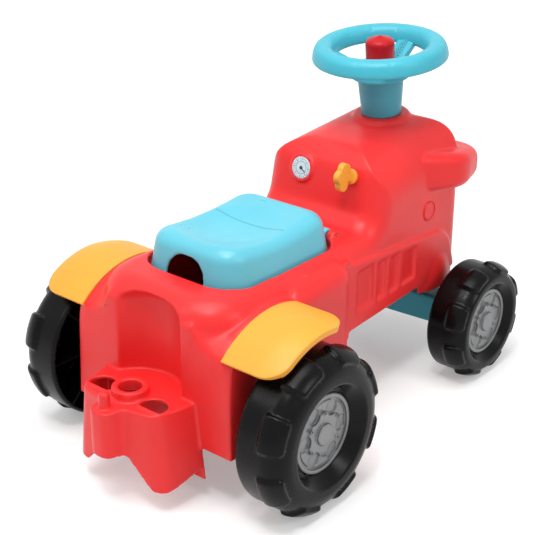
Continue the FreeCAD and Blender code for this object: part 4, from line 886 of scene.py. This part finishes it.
@dataclass
class FrontEnd(SubAssembly):
    """Grille panel and lamps, in millimetres; the rims count from the lamp's radius."""

    nodes: dict[Finish, list[str]] = field(default_factory=lambda: {
        Finish.PALE: ["front_panel"],
        Finish.LENS: pair("lamp"),
    })
    panel_half: float = 51.0
    slots: int = 7
    slot_w: float = 6.0
    slot_low: float = 142.0
    slot_top: float = 170.0
    floor_deep: float = 3.2
    floor_t: float = 0.6
    floor_gap: float = 0.4
    floor_soft: float = 0.25
    lamp_r: float = 15.0
    lamp_rim: Profile = field(default_factory=lambda: [
        (0.2, -0.5), (0.2, 0.9), (0.9, 1.4), (2.0, 1.3), (2.8, 0.4), (2.8, -0.5),
    ])
    lens_rings: tuple[float, ...] = (2.5, 5.0, 7.5, 10.0)
    lens_ring: Profile = field(default_factory=lambda: [
        (0.0, -0.4), (0.25, 0.35), (0.8, 0.45), (1.2, -0.4),
    ])

    def build(self) -> None:
        """Dark slot floors as painted shade in the grille slots, lamp rims and the rings of the lenses."""
        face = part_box("front_panel")[1][0]
        # Dark sheets set behind the grille slots: painted shade.
        floors = Mould()
        pitch = 2 * (self.panel_half - 2 * self.slot_w) / (self.slots - 1)
        for i in range(self.slots):
            y = pitch * (i - (self.slots - 1) / 2)
            middle = (face - self.floor_deep * MM, y * MM, (self.slot_low + self.slot_top) / 2 * MM)
            height = self.slot_top - self.slot_low - self.floor_gap
            size = (self.floor_t, self.slot_w - self.floor_gap, height)
            floors.bar(size, Matrix.Translation(middle), self.floor_soft, 2)
        self.add(floors, "grille_slot_shade", "chassis", Finish.PRINT_AND_SHADE, "pale_plastic")
        for name in pair("lamp"):
            low, high = (Vector(corner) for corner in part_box(name))
            middle = (low + high) / 2
            ahead = Matrix.Rotation(math.pi / 2, 4, "Y")
            seat = Matrix.Translation((face, middle.y, middle.z)) @ ahead
            rim = Mould().turned([(self.lamp_r + r, z) for r, z in self.lamp_rim])
            self.add(rim.placed(seat), name + "_rim", "chassis", Finish.STEEL, "steel")
            front = Matrix.Translation((high.x, middle.y, middle.z)) @ ahead
            rings = Mould()
            for radius in self.lens_rings:
                rings.take(Mould().turned([(radius + r, z) for r, z in self.lens_ring]))
            self.add(rings.placed(front), name + "_rings", "chassis", Finish.LENS, "lens_plastic")


@dataclass
class Wheels(SubAssembly):
    """Four wheels with their caps."""

    nodes: dict[Finish, list[str]] = field(default_factory=lambda: {
        Finish.GREY: pair("rear_cap") + pair("front_cap"),
    })
    cap_r: dict[str, float] = field(default_factory=lambda: {"rear": 42.0, "front": 39.5})
    bolts: int = 6
    star_share: float = 0.56
    socket_r: float = 1.15
    socket_t: float = 0.4
    socket_low: float = 1.5
    softness: Softness = Softness(1.4, 9, 90000)

    def build(self) -> None:
        """Softened tyres, and dark hexagons in the bolt heads of the caps as painted shade of their sockets.
        """
        for name in pair("rear_wheel") + pair("front_wheel"):
            self.soften(name, Finish.BLACK, "black_plastic", self.softness)
        for end, cap_r in self.cap_r.items():
            for side, sign in (("left", 1.0), ("right", -1.0)):
                low, high = (Vector(corner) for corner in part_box(end + "_cap_" + side))
                middle = (low + high) / 2
                face = (high.y if sign > 0 else low.y) - sign * self.socket_low * MM
                away = cap_r * self.star_share * MM
                name = end + "_cap_sockets_" + side
                sockets = self.sockets(Vector((middle.x, face, middle.z)), away)
                # Dark hexagons in the bolt heads: painted shade of the sockets.
                self.add(sockets, name, end + "_" + side, Finish.PRINT_AND_SHADE, "grey_plastic")

    def sockets(self, middle: Vector, away: float) -> Mould:
        """Dark six-sided sheets round the middle of a cap, painted shade of the bolt sockets.

        Args:
            middle: Middle of the ring that they lie on.
            away: Radius of the ring in metres.

        Returns:
            Their mould.
        """
        mould = Mould()
        for i in range(self.bolts):
            turn = 2 * math.pi * (i + 0.5) / self.bolts
            spot = middle + Vector((away * math.cos(turn), 0, away * math.sin(turn)))
            made = bmesh.ops.create_cone(mould.shape, cap_ends=True, segments=6, radius1=self.socket_r * MM,
                                         radius2=self.socket_r * MM, depth=self.socket_t * MM)["verts"]
            place = Matrix.Translation(spot) @ Matrix.Rotation(math.pi / 2, 4, "X")
            bmesh.ops.transform(mould.shape, matrix=place, verts=made)
        return mould


@dataclass(frozen=True)
class Lamp:
    """A square soft lamp.

    Places and the side are in metres, and the power is in watts.
    """

    name: str
    spot: Triple
    aim: Triple
    size: float
    power: float

    def hang(self) -> None:
        """Hang it in the scene."""
        data = bpy.data.lights.new(self.name, "AREA")
        data.shape = "SQUARE"
        data.size = self.size
        data.energy = self.power
        lamp = bpy.data.objects.new(self.name, data)
        bpy.context.scene.collection.objects.link(lamp)
        lamp.location = self.spot
        lamp.rotation_euler = (Vector(self.aim) - Vector(self.spot)).to_track_quat("-Z", "Y").to_euler()


@dataclass
class Studio:
    """Pale floor, soft light and the camera."""

    eye: Triple = (-0.9730, -0.8026, 0.7343)
    yaw: float = 0.70
    pitch: float = 0.4229
    lens: float = 84.72
    sensor: float = 36.0
    far_end: float = 50.0
    floor_half: float = 6.0
    floor_grey: float = 0.82
    floor_lift: float = 0.30
    far_lift: float = 0.85
    lift_start: float = 0.5
    lift_stop: float = 3.0
    sky_light: float = 0.52
    lamps: tuple[Lamp, ...] = (
        Lamp("overhead", (-0.35, 0.0, 1.9), (0.0, 0.0, 0.1), 1.3, 25.0),
        Lamp("left", (-1.5, 1.0, 1.7), (0.0, 0.0, 0.2), 0.6, 4.5),
        Lamp("right", (0.1, -1.8, 1.4), (0.0, 0.0, 0.2), 0.6, 7.5),
        Lamp("sparkle", (-0.9, -0.5, 2.1), (0.0, 0.0, 0.2), 0.25, 7.0),
    )

    def camera(self) -> None:
        """Set the camera at the viewing angle."""
        data = bpy.data.cameras.new("camera")
        data.lens = self.lens
        data.sensor_width = self.sensor
        data.sensor_fit = "HORIZONTAL"
        data.clip_end = self.far_end
        camera = bpy.data.objects.new("camera", data)
        bpy.context.scene.collection.objects.link(camera)
        look = Vector((
            math.cos(self.yaw) * math.cos(self.pitch),
            math.sin(self.yaw) * math.cos(self.pitch),
            -math.sin(self.pitch),
        ))
        camera.location = self.eye
        camera.rotation_euler = look.to_track_quat("-Z", "Y").to_euler()
        bpy.context.scene.camera = camera

    def seen(self, tree: bpy.types.NodeTree) -> bpy.types.NodeSocket:
        """Value that is 1 on rays that show the background.

        Args:
            tree: Node tree that it is made in.

        Returns:
            The value, 1 on camera, glossy and transmission rays.
        """
        path = tree.nodes.new("ShaderNodeLightPath")
        total = path.outputs["Is Camera Ray"]
        for name in ("Is Glossy Ray", "Is Transmission Ray"):
            more = tree.nodes.new("ShaderNodeMath")
            more.operation = "MAXIMUM"
            tree.links.new(total, more.inputs[0])
            tree.links.new(path.outputs[name], more.inputs[1])
            total = more.outputs[0]
        return total

    def floor(self) -> None:
        """Lay the floor."""
        mesh = bpy.data.meshes.new("floor")
        shape = bmesh.new()
        bmesh.ops.create_grid(shape, x_segments=1, y_segments=1, size=self.floor_half)
        shape.to_mesh(mesh)
        shape.free()
        mesh.materials.append(self.floor_white())
        floor = bpy.data.objects.new("floor", mesh)
        bpy.context.scene.collection.objects.link(floor)

    def floor_white(self) -> bpy.types.Material:
        """White that glows more with the distance from the object, on the rays that show the background.

        Returns:
            The material.
        """
        material = bpy.data.materials.new("floor_white")
        material.use_nodes = True
        tree = material.node_tree
        tree.nodes.clear()
        out = tree.nodes.new("ShaderNodeOutputMaterial")
        add = tree.nodes.new("ShaderNodeAddShader")
        diffuse = tree.nodes.new("ShaderNodeBsdfDiffuse")
        diffuse.inputs["Color"].default_value = (self.floor_grey, self.floor_grey, self.floor_grey, 1.0)
        glow = tree.nodes.new("ShaderNodeEmission")
        coords = tree.nodes.new("ShaderNodeTexCoord")
        away = tree.nodes.new("ShaderNodeVectorMath")
        away.operation = "LENGTH"
        tree.links.new(coords.outputs["Object"], away.inputs[0])
        lift = tree.nodes.new("ShaderNodeMapRange")
        lift.inputs["From Min"].default_value = self.lift_start
        lift.inputs["From Max"].default_value = self.lift_stop
        lift.inputs["To Min"].default_value = self.floor_lift
        lift.inputs["To Max"].default_value = self.far_lift
        tree.links.new(away.outputs["Value"], lift.inputs["Value"])
        shown = tree.nodes.new("ShaderNodeMath")
        shown.operation = "MULTIPLY"
        tree.links.new(lift.outputs["Result"], shown.inputs[0])
        tree.links.new(self.seen(tree), shown.inputs[1])
        tree.links.new(shown.outputs[0], glow.inputs["Strength"])
        tree.links.new(diffuse.outputs[0], add.inputs[0])
        tree.links.new(glow.outputs[0], add.inputs[1])
        tree.links.new(add.outputs[0], out.inputs["Surface"])
        return material

    def sky(self) -> None:
        """White surround, dimmer as light than as a backdrop."""
        world = bpy.data.worlds.new("studio")
        world.use_nodes = True
        bpy.context.scene.world = world
        tree = world.node_tree
        back = tree.nodes["Background"]
        back.inputs["Color"].default_value = (1.0, 1.0, 1.0, 1.0)
        level = tree.nodes.new("ShaderNodeMapRange")
        level.inputs["To Min"].default_value = self.sky_light
        level.inputs["To Max"].default_value = 1.0
        tree.links.new(self.seen(tree), level.inputs["Value"])
        tree.links.new(level.outputs["Result"], back.inputs["Strength"])

    def build(self) -> None:
        """Build the studio."""
        self.camera()
        self.floor()
        self.sky()
        for lamp in self.lamps:
            lamp.hang()
        bpy.context.scene.view_settings.view_transform = "Standard"


def main() -> None:
    """Dress the frame, add the small pieces and build the studio."""
    logging.basicConfig(level=logging.INFO, format="%(name)s %(message)s")
    materials = {finish: recipe.material() for finish, recipe in FINISHES.items()}
    for group in (Body, Seat, Steering, Dash, FrontEnd, Wheels):
        part = group(materials)
        part.dress()
        part.build()
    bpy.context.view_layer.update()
    Studio().build()


if __name__ == "__main__":
    main()
